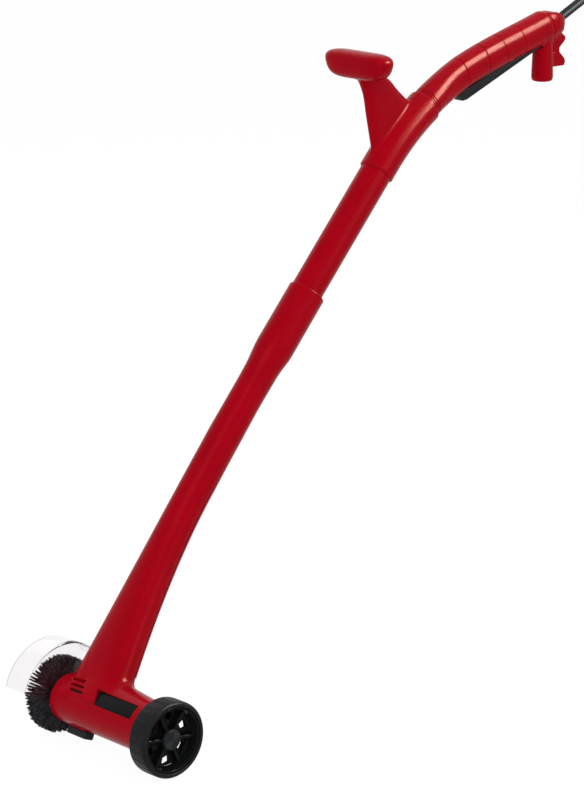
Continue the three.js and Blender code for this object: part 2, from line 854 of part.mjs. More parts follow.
function gearOutline(teeth, inward, tooth_angle) {
  const pitch_radius = (gear_module * teeth) / 2;
  const sign = inward ? -1 : 1;
  const tip = pitch_radius + sign * tooth_shares.tip_height * gear_module;
  const root = pitch_radius - sign * tooth_shares.root_depth * gear_module;
  const points = [];
  for (let i = 0; i < teeth; i++) {
    const middle = tooth_angle + (i * 2 * Math.PI) / teeth;
    const pitch_angle = (2 * Math.PI) / teeth;
    for (const [radius, share] of [
      [root, -tooth_shares.root], [tip, -tooth_shares.tip],
      [tip, tooth_shares.tip], [root, tooth_shares.root],
    ]) {
      const angle = middle + share * pitch_angle;
      points.push(new THREE.Vector2(radius * Math.cos(angle), radius * Math.sin(angle)));
    }
  }
  return points;
}

const gear_start = -carrier_offset - carrier_thickness - gap;
const planet_angles = [0, 1, 2].map((i) => Math.PI / 2 + (i * 2 * Math.PI) / 3);

function planetCentre(angle) {
  return spindle_axis.clone()
    .add(new THREE.Vector3(Math.cos(angle), 0, Math.sin(angle)).multiplyScalar(gear_orbit));
}

function planetGear(angle) {
  const shape = new THREE.Shape(gearOutline(planet_teeth, false, angle));
  const bore = new THREE.Path();
  bore.absarc(0, 0, planet_pin_radius + gap, 0, 2 * Math.PI, false);
  shape.holes.push(bore);
  return plateAlongY(shape, gear_start - gear_width, gear_start, planetCentre(angle), 5);
}

function ringGear() {
  const shape = new THREE.Shape();
  shape.absarc(0, 0, barrel_bore - gap, 0, 2 * Math.PI, false);
  const half_tooth = Math.PI / ring_teeth;
  shape.holes.push(new THREE.Path(gearOutline(ring_teeth, true, Math.PI / 2 + half_tooth)));
  const start = gear_start - (gear_width - ring_width);
  return plateAlongY(shape, start - ring_width, start, spindle_axis, 12);
}

function sunTeeth() {
  const shape = new THREE.Shape(gearOutline(sun_teeth, false, Math.PI / 2 + Math.PI / sun_teeth));
  return plateAlongY(shape, gear_start - gear_width, gear_start - gap, spindle_axis, 5);
}

// Planet carrier: a disc with lock notches in its rim and a pin for each planet
function planetCarrier() {
  const back = -carrier_offset - carrier_thickness;
  const disc = ringAlongY(spindle_radius + gap, carrier_radius, back, -carrier_offset, 28);
  const pins = planet_angles.map((angle) => barAlongY(
    planet_pin_radius, gear_start - gear_width, back + carrier_thickness / 2, 10, planetCentre(angle),
  ));
  const notches = Array.from({ length: quarters }, (_, i) => {
    const angle = lock_angle + (i * 2 * Math.PI) / quarters;
    const out = new THREE.Vector3(Math.cos(angle), 0, Math.sin(angle));
    const middle = spindle_axis.clone().setY(-lock_offset);
    const floor = carrier_radius - lock_notch_depth;
    return barBetween(
      middle.clone().addScaledVector(out, floor),
      middle.clone().addScaledVector(out, carrier_radius + overrun),
      lock_pin_radius + 2 * gap, 6,
    );
  });
  return cut(join(disc, ...pins), ...notches);
}

// Spindle lock: a long cap on a round stem that ends in the pin
const cap_floor = barrel_radius + lock_travel + gap;

function lockPoint(reach, y = -lock_offset) {
  return spindle_axis.clone().setY(y).addScaledVector(lock_out, reach);
}

function lockButton() {
  const across = new THREE.Vector3(-lock_out.z, 0, lock_out.x);
  const cap_start = -lock_offset + lock_stem_radius;
  const cap_middle = cap_start - lock_cap_length / 2;
  const cap = loft([
    [cap_floor, 1], [cap_floor + lock_cap_height * 0.7, 1], [cap_floor + lock_cap_height, 0.86],
  ].map(([reach, share]) => ovalRing(
    lockPoint(reach, cap_middle), side, across,
    (lock_cap_length / 2) * share, (lock_cap_width / 2) * share, 16, 6,
  )));
  const flange_top = barrel_bore - lock_flange_radius ** 2 / (2 * barrel_bore) - 2 * gap;
  return join(
    cap,
    barBetween(
      lockPoint(flange_top - lock_flange_thickness), lockPoint(cap_floor + overrun / 4), lock_stem_radius, 10,
    ),
    barBetween(lockPoint(flange_top - lock_flange_thickness), lockPoint(flange_top), lock_flange_radius, 10),
    barBetween(
      lockPoint(carrier_radius + 2 * gap), lockPoint(flange_top - lock_flange_thickness / 2),
      lock_pin_radius, 8,
    ),
  );
}

function lockSpring() {
  const inner = lock_stem_radius + gap;
  const [low, high] = [lockPoint(barrel_radius + gap), lockPoint(cap_floor - gap / 2)];
  return cut(
    barBetween(low, high, inner + lock_spring_wall, 14),
    barBetween(lockPoint(barrel_radius - overrun), lockPoint(cap_floor + overrun), inner, 14),
  );
}

// Motor
const can_start = -motor_plate_offset - motor_plate_thickness - gap;
const can_end = can_start - can_length;

function motorPlate() {
  const back = -motor_plate_offset - motor_plate_thickness;
  return ringAlongY(shaft_radius + gap, barrel_bore - gap, back, -motor_plate_offset, 24);
}

function motorCan() {
  return ringAlongY(can_radius - can_wall, can_radius, can_end, can_start, 20);
}

function magnet(turn) {
  const shape = new THREE.Shape();
  const outer = (can_radius - can_wall) * Math.cos(Math.PI / 20) - gap;
  const half_angle = Math.PI / 3;
  shape.absarc(0, 0, outer, turn - half_angle, turn + half_angle, false);
  shape.absarc(0, 0, outer - magnet_thickness, turn + half_angle, turn - half_angle, true);
  const start = can_start - magnet_inset;
  return plateAlongY(shape, start - magnet_length, start, spindle_axis, 5);
}

function armatureCore() {
  const start = can_start - armature_inset;
  const slots = 5;
  const core = ringAlongY(shaft_radius + gap, armature_radius, start - armature_length, start, 15);
  const cutters = Array.from({ length: slots }, (_, i) => {
    const angle = (i * 2 * Math.PI) / slots;
    const out = new THREE.Vector3(Math.cos(angle), 0, Math.sin(angle));
    const across = new THREE.Vector3(-Math.sin(angle), 0, Math.cos(angle));
    const ring = (y) => [[0, -1], [1, -1], [1, 1], [0, 1]].map(([far, wide]) => spindle_axis.clone()
      .addScaledVector(out, armature_radius - armature_slot_depth + far * (armature_slot_depth + overrun))
      .addScaledVector(across, (wide * armature_slot_width) / 2).setY(y));
    return loft([ring(start + overrun), ring(start - armature_length - overrun)]);
  });
  return cut(core, ...cutters);
}

// Motor shaft with the sun gear cut on its end
function motorShaft() {
  const shaft = barAlongY(shaft_radius, can_end - end_cap_thickness - gap, gear_start - gear_width / 2, 12);
  return join(shaft, sunTeeth());
}

function commutator() {
  const start = can_start - commutator_inset;
  return ringAlongY(shaft_radius + gap, commutator_radius, start - commutator_length, start, 16);
}

const carbon_middle = can_start - commutator_inset - commutator_length / 2;

// A box along X on one side of the spindle, for the carbon brushes and their holders
function sideBox(sign, near, far, y_low, y_high, half_height) {
  const ring = (y) => [[near, -1], [far, -1], [far, 1], [near, 1]].map(([reach, up]) => (
    new THREE.Vector3(sign * reach, y, axle_height + up * half_height)
  ));
  return loft([ring(y_low), ring(y_high)]);
}

function carbonBrush(sign) {
  const near = commutator_radius + gap;
  return sideBox(
    sign, near, near + carbon_length, carbon_middle - carbon_size / 2, carbon_middle + carbon_size / 2,
    carbon_size / 2,
  );
}

function motorEndCap() {
  const top = can_end - gap;
  const plate = ringAlongY(shaft_radius + gap, can_radius, top - end_cap_thickness, top, 20);
  const near = commutator_radius + carbon_length + 2 * gap;
  const holders = [-1, 1].map((sign) => sideBox(
    sign, near, near + holder_thickness, top - end_cap_thickness / 2, carbon_middle + carbon_size / 2,
    carbon_size / 2 + gap,
  ));
  return join(plate, ...holders);
}

function rectifierBoard() {
  const back = -board_offset - board_thickness;
  const board = barAlongY(barrel_bore - gap, back, -board_offset, 18);
  const bridge = sideBox(
    1, 0, bridge_size, back - bridge_height, -board_offset - board_thickness / 2, bridge_size / 2,
  );
  return cut(join(board, bridge), barBetween(
    barrel_lead_point(-board_offset + overrun), barrel_lead_point(-board_offset - overrun),
    lead_radius + gap, 10,
  ));
}

// Wheel
const wheel_outer = -wheel_start - wheel_width;
const tyre_bore = wheel_radius - tyre_thickness;

function wheelTyre() {
  const [near, far] = [-wheel_start, wheel_outer];
  return turned([
    [tyre_bore, far], [wheel_radius - tyre_round, far],
    [wheel_radius - tyre_round * 0.3, far + tyre_round * 0.3], [wheel_radius, far + tyre_round],
    [wheel_radius, near - tyre_round], [wheel_radius - tyre_round, near], [tyre_bore, near],
    [tyre_bore, far],
  ], 36, wheel_axis);
}

const rim_near = -wheel_start - rim_inset;
const rim_far = wheel_outer + rim_inset;
const spoke_front = rim_near - web_inset - spoke_depth;

function wheelRim() {
  const outer = tyre_bore * Math.cos(Math.PI / 36) - gap;
  const barrel = ringAlongY(outer - rim_wall, outer, rim_far, rim_near, 28, wheel_axis);
  const web_top = rim_near - web_inset;
  const web = barAlongY(outer - rim_wall / 2, web_top - web_thickness, web_top, 16, wheel_axis);
  const hub = barAlongY(rim_hub_radius, spoke_front, -wheel_start + gap, 14, wheel_axis);
  const spokes = Array.from({ length: 6 }, (_, i) => {
    const angle = (i * Math.PI) / 3 + spoke_turn;
    const out = new THREE.Vector3(Math.cos(angle), 0, Math.sin(angle));
    const across = new THREE.Vector3(-Math.sin(angle), 0, Math.cos(angle));
    const ring = (reach) => [[-1, 0], [1, 0], [1, 1], [-1, 1]].map(([wide, deep]) => wheel_axis.clone()
      .addScaledVector(out, reach).addScaledVector(across, (wide * spoke_thickness) / 2)
      .setY(web_top - web_thickness / 2 - deep * (spoke_depth - web_thickness)));
    return loft([ring(rim_hub_radius / 2), ring(outer - rim_wall / 2)]);
  });
  const windows = Array.from({ length: 6 }, (_, i) => {
    const angle = ((i + 0.5) * Math.PI) / 3 + spoke_turn;
    return plateAlongY(outlineOf([
      [window_inner_radius, -window_half_angle], [window_outer_radius, -window_half_angle],
      [window_outer_radius, window_half_angle], [window_inner_radius, window_half_angle],
    ].map(([radius, turn]) => [radius * Math.cos(angle + turn), radius * Math.sin(angle + turn)])),
    web_top - web_thickness - overrun, web_top + overrun, wheel_axis);
  });
  const bore = barAlongY(axle_radius + gap, rim_far - overrun, rim_near + overrun, 12, wheel_axis);
  return cut(join(barrel, web, hub, ...spokes), bore, ...windows);
}

function hubCap() {
  const back = spoke_front - gap;
  const front = back - hub_cap_height;
  const hollow = axle_past_hub + 2 * gap;
  return turned([
    [0, front], [hub_cap_radius * 0.8, front], [hub_cap_radius, front + hub_cap_height / 3],
    [hub_cap_radius, back], [axle_radius + gap, back], [axle_radius + gap, back - hollow], [0, back - hollow],
  ], 20, wheel_axis);
}

function axleBolt() {
  const head = barrel_end + axle_boss_length + gap;
  const tip = spoke_front - axle_past_hub;
  return join(
    barAlongY(axle_radius, tip, head + axle_head_height / 2, 12, wheel_axis),
    barAlongY(axle_head_radius, head, head + axle_head_height, 6, wheel_axis),
  );
}

function axleWasher() {
  const start = barrel_end - gap;
  const width = wheel_start - gap * 2 + start;
  return ringAlongY(axle_radius + gap, axle_boss_radius, start - width, start, 14, wheel_axis);
}

// Middle tube
function middleTube() {
  const start = lower_length + socket_length - tube_insertion;
  const inside = stem_radius - tube_wall;
  return cut(
    sweep(stationsBetween(start, tube_end), () => ({ wide: stem_radius, deep: stem_radius }), round_count),
    sweep(
      stationsBetween(start - overrun, tube_end + overrun), () => ({ wide: inside, deep: inside }),
      round_count,
    ),
  );
}

// Auxiliary handle: a sleeve round the joint of tube and grip, a fin, and a crosswise grip
function crossGrip(grow) {
  const { lean } = stemFrame(sleeve_start + fin_station);
  const centre = stemPoint(sleeve_start + fin_station, cross_grip_out)
    .addScaledVector(along(lean), cross_grip_along);
  const [forward, up] = [new THREE.Vector3(1, 0, 0), new THREE.Vector3(0, 0, 1)];
  const half_shares = grow < 0 ? [0.6, 0.98] : [0.5, 0.8, 0.94, 0.995];
  const end_shares = [...half_shares.map((share) => -share).reverse(), ...half_shares];
  const corners = grow < 0 ? 10 : 16;
  return loft(end_shares.map((share) => {
    const fill = (1 - Math.abs(share) ** 3.4) ** 0.42;
    const ring = ovalRing(
      centre, forward, up, (cross_grip_half_depth + grow) * fill, (cross_grip_half_height + grow) * fill,
      corners, 2.5,
    );
    return ring.map((point) => {
      const below = (1 - (point.z - centre.z) / cross_grip_half_height) / 2;
      const reach = share * (cross_grip_half_length + grow) * (1 - cross_grip_slant_share * below);
      return point.addScaledVector(side, reach);
    });
  }));
}

function handleFin() {
  const station = sleeve_start + fin_station;
  const { lean } = stemFrame(station);
  const place = (forward, out) => stemPoint(station, out).addScaledVector(along(lean), forward);
  const turn = (share) => along(lean + share * (Math.PI / 2 - lean));
  return loft([
    ovalRing(place(0, fin_base_rise), side, turn(0), fin_half_thickness, fin_base_half_length, 16, 3),
    ovalRing(
      place(fin_middle_along, fin_middle_out), side, turn(0.15),
      fin_half_thickness, fin_middle_half_length, 16, 2.6,
    ),
    ovalRing(
      place(fin_top_along, (fin_middle_out + fin_top_out) / 2), side, turn(0.5),
      fin_half_thickness, (fin_middle_half_length + 2 * fin_top_half_length) / 3, 16, 2.6,
    ),
    ovalRing(
      place(fin_top_along, fin_top_out), side, turn(0.9), fin_half_thickness, fin_top_half_length, 16, 2.6,
    ),
  ]);
}

function sideBlock(sign) {
  const reach = grip_end;
  const near = stem_y + (sign * gap) / 2;
  const ring = (y) => [[-1, -1], [1, -1], [1, 1], [-1, 1]].map(([x, z]) => (
    new THREE.Vector3(x * reach, y, z * reach)
  ));
  return loft([ring(near), ring(near + sign * reach)]);
}

const fin_screw = {
  station: sleeve_start + fin_station, out: fin_screw_out, forward: fin_screw_along,
};

function finScrewPoint(aside) {
  const { lean } = stemFrame(fin_screw.station);
  return stemPoint(fin_screw.station, fin_screw.out, aside).addScaledVector(along(lean), fin_screw.forward);
}

function auxiliaryHandle() {
  const stations = stationsBetween(sleeve_start, sleeve_end);
  const bore_stations = stationsBetween(sleeve_start - overrun, sleeve_end + overrun);
  const inside = stem_radius + gap;
  const sleeve = sweep(stations, () => ({ wide: sleeve_radius, deep: sleeve_radius }), round_count);
  const body = join(sleeve, handleFin(), crossGrip(0));
  const holes = [
    barBetween(finScrewPoint(-gap), finScrewPoint(overrun * 2), screw_radius + gap, 8),
    barBetween(
      finScrewPoint(fin_half_thickness - screw_head_height - 2 * gap), finScrewPoint(overrun * 3),
      screw_head_radius + gap, 12,
    ),
    barBetween(
      finScrewPoint(-fin_half_thickness + screw_boss_wall), finScrewPoint(gap), screw_radius + gap, 8,
    ),
  ];
  const hollow = sweep(bore_stations, () => ({ wide: inside, deep: inside }), round_count);
  return cut(body, hollow, crossGrip(-cross_grip_wall), ...holes);
}

function finScrew() {
  return screwBetween(
    finScrewPoint(fin_half_thickness - gap), finScrewPoint(-fin_half_thickness + screw_boss_wall + gap),
  );
}

// Rear grip
function gripSection(grow) {
  return (station) => {
    const share = Math.min(1, Math.max(0, (station - sleeve_end) / grip_blend));
    const into_end = Math.max(0, station - grip_end + grip_end_round) / grip_end_round;
    const fill = Math.sqrt(Math.max(0, 1 - 0.7 * into_end ** 2));
    return {
      wide: (stem_radius + (grip_half_width - stem_radius) * share + grow) * fill,
      deep: (stem_radius + (grip_half_height - stem_radius) * share + grow) * fill,
      sink: grip_end_sink * into_end ** 2,
      power: 2 + 0.4 * share,
    };
  };
}

function gripStations(start, end) {
  return stationsBetween(
    start, end, grip_end - grip_end_round, grip_end - grip_end_round / 2,
  );
}

function postCentre() {
  return stemPoint(grip_end - post_from_end);
}

function post() {
  const centre = postCentre();
  const [forward, sideways] = [new THREE.Vector3(1, 0, 0), side];
  const ring = (drop, radius) => ovalRing(
    centre.clone().setZ(centre.z - drop), forward, sideways, radius, radius, 20, 2.3,
  );
  return loft([
    ring(0, post_radius), ring(post_drop * 0.93, post_radius * 0.96), ring(post_drop, post_radius * 0.8),
  ]);
}

function cableHook() {
  const centre = postCentre();
  const shape = outlineOf([
    [0, -hook_top], [hook_depth, -hook_top], [hook_tip_depth, -hook_upper_tip],
    [hook_depth, -hook_waist], [hook_tip_depth, -hook_lower_tip], [hook_tip_depth, -hook_bottom],
    [0, -hook_bottom],
  ]);
  return plateAlongY(shape, stem_y - hook_half_thickness, stem_y + hook_half_thickness, centre, 1);
}

const relief_direction = new THREE.Vector3(Math.cos(relief_rise), 0, Math.sin(relief_rise));
const relief_point = (reach) => stemPoint(grip_end).addScaledVector(relief_direction, reach);

function gripBody() {
  const start = tube_end + gap;
  const inner_end = grip_end - grip_wall;
  const outer = sweep(gripStations(start, grip_end), gripSection(0), round_count);
  const hollow = sweep(gripStations(start - overrun, inner_end), gripSection(-grip_wall), 16);
  const spigot_radius = stem_radius - tube_wall - gap;
  const spigot_section = (radius) => () => ({ wide: radius, deep: radius });
  const spigot = sweep(
    stationsBetween(tube_end - spigot_length, tube_end + spigot_length / 2), spigot_section(spigot_radius),
    round_count,
  );
  const spigot_bore = sweep(
    stationsBetween(tube_end - spigot_length - overrun, tube_end + spigot_length),
    spigot_section(spigot_radius - spigot_wall), 16,
  );
  const shell = cut(join(outer, post(), cableHook()), hollow);
  return cut(join(shell, spigot), spigot_bore);
}

function gripRibs() {
  const wall = grip_half_width - grip_wall / 2;
  const shelves = [-1, 1].map((sign) => stemBox(
    switch_station - switch_half_length, capacitor_station + capacitor_half_length, shelf_low, shelf_high,
    sign * (switch_half_width + gap), sign * wall,
  ));
  const ledge = stemBox(
    spring_station - spring_radius * 2, spring_station + spring_radius * 2,
    spring_ceiling, spring_ceiling + ledge_thickness, -wall, wall,
  );
  const pivot_bosses = [-1, 1].map((sign) => barBetween(
    stemPoint(pivot_station, -pivot_drop, sign * (lever_half_width + slot_clearance)),
    stemPoint(pivot_station, -pivot_drop, sign * (pin_half_length + gap)), pivot_boss_radius, 12,
  ));
  const screw_boss = barBetween(
    stemPoint(grip_screw_station, 0, -wall), stemPoint(grip_screw_station, 0, wall),
    screw_head_radius + screw_boss_wall, 12,
  );
  const skin = sweep(gripStations(tube_end + 2 * gap, grip_end - gap), gripSection(-grip_wall / 2), 16);
  return join(...shelves, ledge, ...pivot_bosses, screw_boss).intersect(skin);
}

function leverOutline(grow) {
  const points = [
    stemPoint(lever_start - grow, -lever_top), stemPoint(lever_start - grow, -lever_front_drop - grow * 3),
    stemPoint(lever_start + 6 * grow + pin_radius * 3, -lever_front_drop - grow * 3),
    stemPoint(lever_end + grow, -lever_rear_drop - grow * 3), stemPoint(lever_end + grow, -lever_top + grow),
  ];
  return outlineOf(points.map((point) => [point.x, point.z]));
}

const world_centre = new THREE.Vector3();

function gripShell() {
  const half_slot = lever_half_width + slot_clearance;
  const slot = plateAlongY(
    leverOutline(2 * gap), stem_y - half_slot, stem_y + half_slot, world_centre, 1,
  );
  const pin_hole = barBetween(
    stemPoint(pivot_station, -pivot_drop, -pin_half_length - gap),
    stemPoint(pivot_station, -pivot_drop, pin_half_length + gap), pin_radius + gap, 10,
  );
  const screw_head_seat = grip_half_width - screw_head_height - 2 * gap;
  const screw_holes = [
    barBetween(
      stemPoint(grip_screw_station, 0, screw_head_seat),
      stemPoint(grip_screw_station, 0, stem_radius + overrun),
      screw_head_radius + gap, 12,
    ),
    barBetween(
      stemPoint(grip_screw_station, 0, -grip_half_width / 2),
      stemPoint(grip_screw_station, 0, grip_half_width),
      screw_radius + gap, 8,
    ),
  ];
  const relief_hole = barBetween(relief_point(-overrun), relief_point(overrun), relief_root_radius + gap, 16);
  return cut(join(gripBody(), gripRibs()), slot, pin_hole, ...screw_holes, relief_hole);
}

function gripScrew() {
  return screwBetween(
    stemPoint(grip_screw_station, 0, grip_half_width - gap),
    stemPoint(grip_screw_station, 0, -grip_half_width / 2 + gap),
  );
}

function switchLever() {
  const body = plateAlongY(
    leverOutline(0), stem_y - lever_half_width, stem_y + lever_half_width, world_centre, 1,
  );
  const eye = barBetween(
    stemPoint(pivot_station, -pivot_drop, -lever_half_width),
    stemPoint(pivot_station, -pivot_drop, lever_half_width), pivot_boss_radius, 14,
  );
  const bore = barBetween(
    stemPoint(pivot_station, -pivot_drop, -lever_half_width - overrun),
    stemPoint(pivot_station, -pivot_drop, lever_half_width + overrun), pin_radius + gap, 12,
  );
  return cut(join(body, eye), bore);
}

function leverPin() {
  return barBetween(
    stemPoint(pivot_station, -pivot_drop, -pin_half_length),
    stemPoint(pivot_station, -pivot_drop, pin_half_length), pin_radius, 12,
  );
}

function leverSpring() {
  const [low, high] = [-lever_top + gap, spring_ceiling - 2 * gap];
  const ring = (radius, from, to) => barBetween(
    stemPoint(spring_station, from), stemPoint(spring_station, to), radius, 14,
  );
  const inner = spring_radius - spring_wall;
  return cut(ring(spring_radius, low, high), ring(inner, low - overrun, high + overrun));
}

function switchBody() {
  const block = stemBox(
    switch_station - switch_half_length + gap, switch_station + switch_half_length - gap,
    -switch_bottom, switch_top, -switch_half_width, switch_half_width,
  );
  const bore = barBetween(
    stemPoint(switch_station, -switch_bottom - overrun), stemPoint(switch_station, switch_top - 2 * gap),
    plunger_radius + gap, 12,
  );
  return cut(block, bore);
}

function switchPlunger() {
  return barBetween(
    stemPoint(switch_station, -lever_top + gap), stemPoint(switch_station, plunger_in_switch),
    plunger_radius, 12,
  );
}

function capacitor() {
  return stemBox(
    capacitor_station - capacitor_half_length + gap, capacitor_station + capacitor_half_length,
    -switch_bottom, capacitor_top, -switch_half_width, switch_half_width,
  );
}

// Leads
function tubeAlong(points, radius, sides, steps) {
  const curve = new THREE.CatmullRomCurve3(points, false, 'centripetal');
  const section = new THREE.Shape(Array.from({ length: sides }, (_, i) => {
    const angle = (i * 2 * Math.PI) / sides;
    return new THREE.Vector2(radius * Math.cos(angle), radius * Math.sin(angle));
  }));
  const geometry = new THREE.ExtrudeGeometry(section, { steps, extrudePath: curve, bevelEnabled: false });
  return solidOf(geometry);
}

function innerLead() {
  const high = switch_top + lead_radius + gap;
  return tubeAlong([
    relief_point(-relief_collar_depth - relief_collar_length - lead_radius),
    stemPoint(clamp_station + 1.6 * clamp_half_length, clamp_lead_height),
    stemPoint(clamp_station - 1.6 * clamp_half_length, clamp_lead_height),
    stemPoint(capacitor_station + 1.5 * capacitor_half_length, high),
    stemPoint(capacitor_station, high), stemPoint(switch_station, high),
    stemPoint(lever_start, high), stemPoint(grip_screw_station, high),
    stemPoint(sleeve_end, high / 2), stemPoint(tube_end, 0), stemPoint(sleeve_start, 0, -gap),
    stemPoint(lower_length, 0, -lead_radius), stemPoint(lower_length / 2, 0, -2 * lead_radius),
    stemPoint(barrel_radius * 2, 0, lead_side - stem_y + 2 * lead_radius),
    barrel_lead_point(lead_side - lead_radius), barrel_lead_point(-cradle_offset),
    barrel_lead_point(-board_offset + gap),
  ], lead_radius, 8, 29);
}

function cordClamp() {
  const block = stemBox(
    clamp_station - clamp_half_length, clamp_station + clamp_half_length, -clamp_low, clamp_high,
    -clamp_half_width, clamp_half_width,
  ).intersect(sweep(
    gripStations(tube_end + 2 * gap, grip_end - grip_wall - gap), gripSection(-grip_wall - gap), 16,
  ));
  return cut(block, barBetween(
    stemPoint(clamp_station - 3 * clamp_half_length, clamp_lead_height),
    stemPoint(clamp_station + 3 * clamp_half_length, clamp_lead_height), lead_radius + 8 * gap, 12,
  ));
}

function strainRelief() {
  return join(
    barBetween(relief_point(gap), relief_point(relief_length), relief_root_radius, 12, relief_tip_radius),
    barBetween(
      relief_point(-relief_collar_depth - relief_collar_length / 2), relief_point(2 * gap),
      relief_root_radius, 12,
    ),
    barBetween(
      relief_point(-relief_collar_depth - relief_collar_length), relief_point(-relief_collar_depth),
      relief_collar_radius, 12,
    ),
  );
}

// The mains lead leaves the strain relief, turns over and hangs down; its places were chosen by hand
const lead_exit = relief_point(relief_length + gap);
const lead_route = [
  [0, 0], [12, 5.5], [26, 10.8], [41, 13.2], [55, 11.5], [67, 5.5], [76, -4], [82, -16], [85, -30],
  [86.5, -50], [87, -75], [87, -105], [86.5, -140], [86, -175], [86, -210], [86, -240],
].map(([back, up]) => new THREE.Vector3(lead_exit.x + back, stem_y, lead_exit.z + up));

function mainsLead() {
  return tubeAlong(lead_route, cord_radius, 8, 24);
}

function plug() {
  const top = lead_route.at(-1);
  const down = (drop, x = 0) => new THREE.Vector3(top.x + x, top.y, top.z - drop - gap);
  const neck_length = plug_length - plug_face_length;
  const pins = [-1, 1].map((sign) => barBetween(
    down(plug_length - plug_pin_radius, (sign * plug_pin_spacing) / 2),
    down(plug_length + plug_pin_length, (sign * plug_pin_spacing) / 2), plug_pin_radius, 8,
  ));
  return join(
    barBetween(down(0), down(neck_length + plug_pin_radius), plug_neck_radius, 16, plug_body_radius * 0.8),
    barBetween(down(neck_length), down(plug_length), plug_body_radius, 16),
    ...pins,
  );
}

// Finishes
const finishes = {
  red: { color: 0xb00012, roughness: 0.32, metalness: 0 },
  black: { color: 0x16181a, roughness: 0.45, metalness: 0 },
  gloss_black: { color: 0x0c0c0e, roughness: 0.2, metalness: 0 },
  rubber: { color: 0x1a1b1d, roughness: 0.8, metalness: 0 },
  nylon: { color: 0x25262a, roughness: 0.6, metalness: 0 },
  steel: { color: 0x9a9ca0, roughness: 0.35, metalness: 1 },
  copper: { color: 0xb4693c, roughness: 0.4, metalness: 1 },
  clear: { color: 0xe8eef0, roughness: 0.08, metalness: 0, transparent: true, opacity: 0.3 },
  white: { color: 0xd8d8d2, roughness: 0.6, metalness: 0 },
  graphite: { color: 0x303236, roughness: 0.7, metalness: 0.2 },
};

const machine = new THREE.Group();

function add(name, solid, finish) {
  const mesh = new THREE.Mesh(geometryOf(solid), new THREE.MeshStandardMaterial(finishes[finish]));
  mesh.name = name;
  machine.add(mesh);
}

const lower = lowerShells();
add('housing_front_shell', lower.front, 'red');
add('housing_rear_shell', lower.rear, 'red');
add('middle_tube', middleTube(), 'red');
const handle = auxiliaryHandle();
add('aux_handle_left', handle.intersect(sideBlock(-1)), 'red');
add('aux_handle_right', handle.intersect(sideBlock(1)), 'red');
const grip = gripShell();
add('grip_left_shell', grip.intersect(sideBlock(-1)), 'red');
add('grip_right_shell', grip.intersect(sideBlock(1)), 'red');
add('name_plate', namePlateSolid(0), 'gloss_black');
add('lock_button', lockButton(), 'black');
add('lock_spring', lockSpring(), 'steel');
add('brush_guard', brushGuard(), 'clear');
add('guard_screw_1', guardScrew(guard_screw_angle), 'steel');
add('guard_screw_2', guardScrew(guard_screw_angle + Math.PI), 'steel');

add('spindle', spindle(), 'steel');
add('spindle_bearing_1', bearing(bearing_start), 'steel');
add('spindle_bearing_2', bearing(second_bearing_start), 'steel');
add('brush_hub', brushHub(), 'black');
for (let i = 0; i < quarters; i++) add(`bristles_${i + 1}`, bristleQuarter(i), 'nylon');
add('clamp_flange', clampFlange(), 'steel');
add('clamp_nut', clampNut(), 'steel');
add('planet_carrier', planetCarrier(), 'steel');
planet_angles.forEach((angle, i) => add(`planet_gear_${i + 1}`, planetGear(angle), 'steel'));
add('ring_gear', ringGear(), 'steel');

add('motor_plate', motorPlate(), 'steel');
add('motor_can', motorCan(), 'steel');
add('magnet_1', magnet(Math.PI / 2), 'graphite');
add('magnet_2', magnet(-Math.PI / 2), 'graphite');
add('armature_core', armatureCore(), 'steel');
add('motor_shaft', motorShaft(), 'steel');
add('commutator', commutator(), 'copper');
add('motor_end_cap', motorEndCap(), 'black');
add('carbon_brush_1', carbonBrush(-1), 'graphite');
add('carbon_brush_2', carbonBrush(1), 'graphite');
add('rectifier_board', rectifierBoard(), 'white');

add('wheel_tyre', wheelTyre(), 'rubber');
add('wheel_rim', wheelRim(), 'gloss_black');
add('hub_cap', hubCap(), 'black');
add('axle_bolt', axleBolt(), 'steel');
add('axle_washer', axleWasher(), 'steel');

add('switch_lever', switchLever(), 'black');
add('lever_pin', leverPin(), 'steel');
add('lever_spring', leverSpring(), 'steel');
add('switch_body', switchBody(), 'black');
add('switch_plunger', switchPlunger(), 'white');
add('capacitor', capacitor(), 'white');
add('inner_lead', innerLead(), 'black');
add('cord_clamp', cordClamp(), 'black');
add('strain_relief', strainRelief(), 'rubber');
add('mains_lead', mainsLead(), 'rubber');
add('plug', plug(), 'rubber');

lower_screws.forEach((screw, i) => add(`housing_screw_${i + 1}`, lowerScrew(screw), 'steel'));
add('grip_screw', gripScrew(), 'steel');
add('fin_screw', finScrew(), 'steel');

// The origin lies on the ground below the middle of the machine without its lead
const box = new THREE.Box3();
for (const mesh of machine.children) {
  if (!['mains_lead', 'plug'].includes(mesh.name)) box.expandByObject(mesh);
}
const middle = box.getCenter(new THREE.Vector3());
machine.position.set(-middle.x, -middle.y, -box.min.z);

export default machine;
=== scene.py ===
"""Electric patio cleaner: brush, crosswise motor barrel, wheel, leaning stem, cross grip and rear grip."""

import json
import math
from contextlib import contextmanager

import bmesh
import bpy
import numpy as np
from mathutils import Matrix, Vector
from mathutils.bvhtree import BVHTree

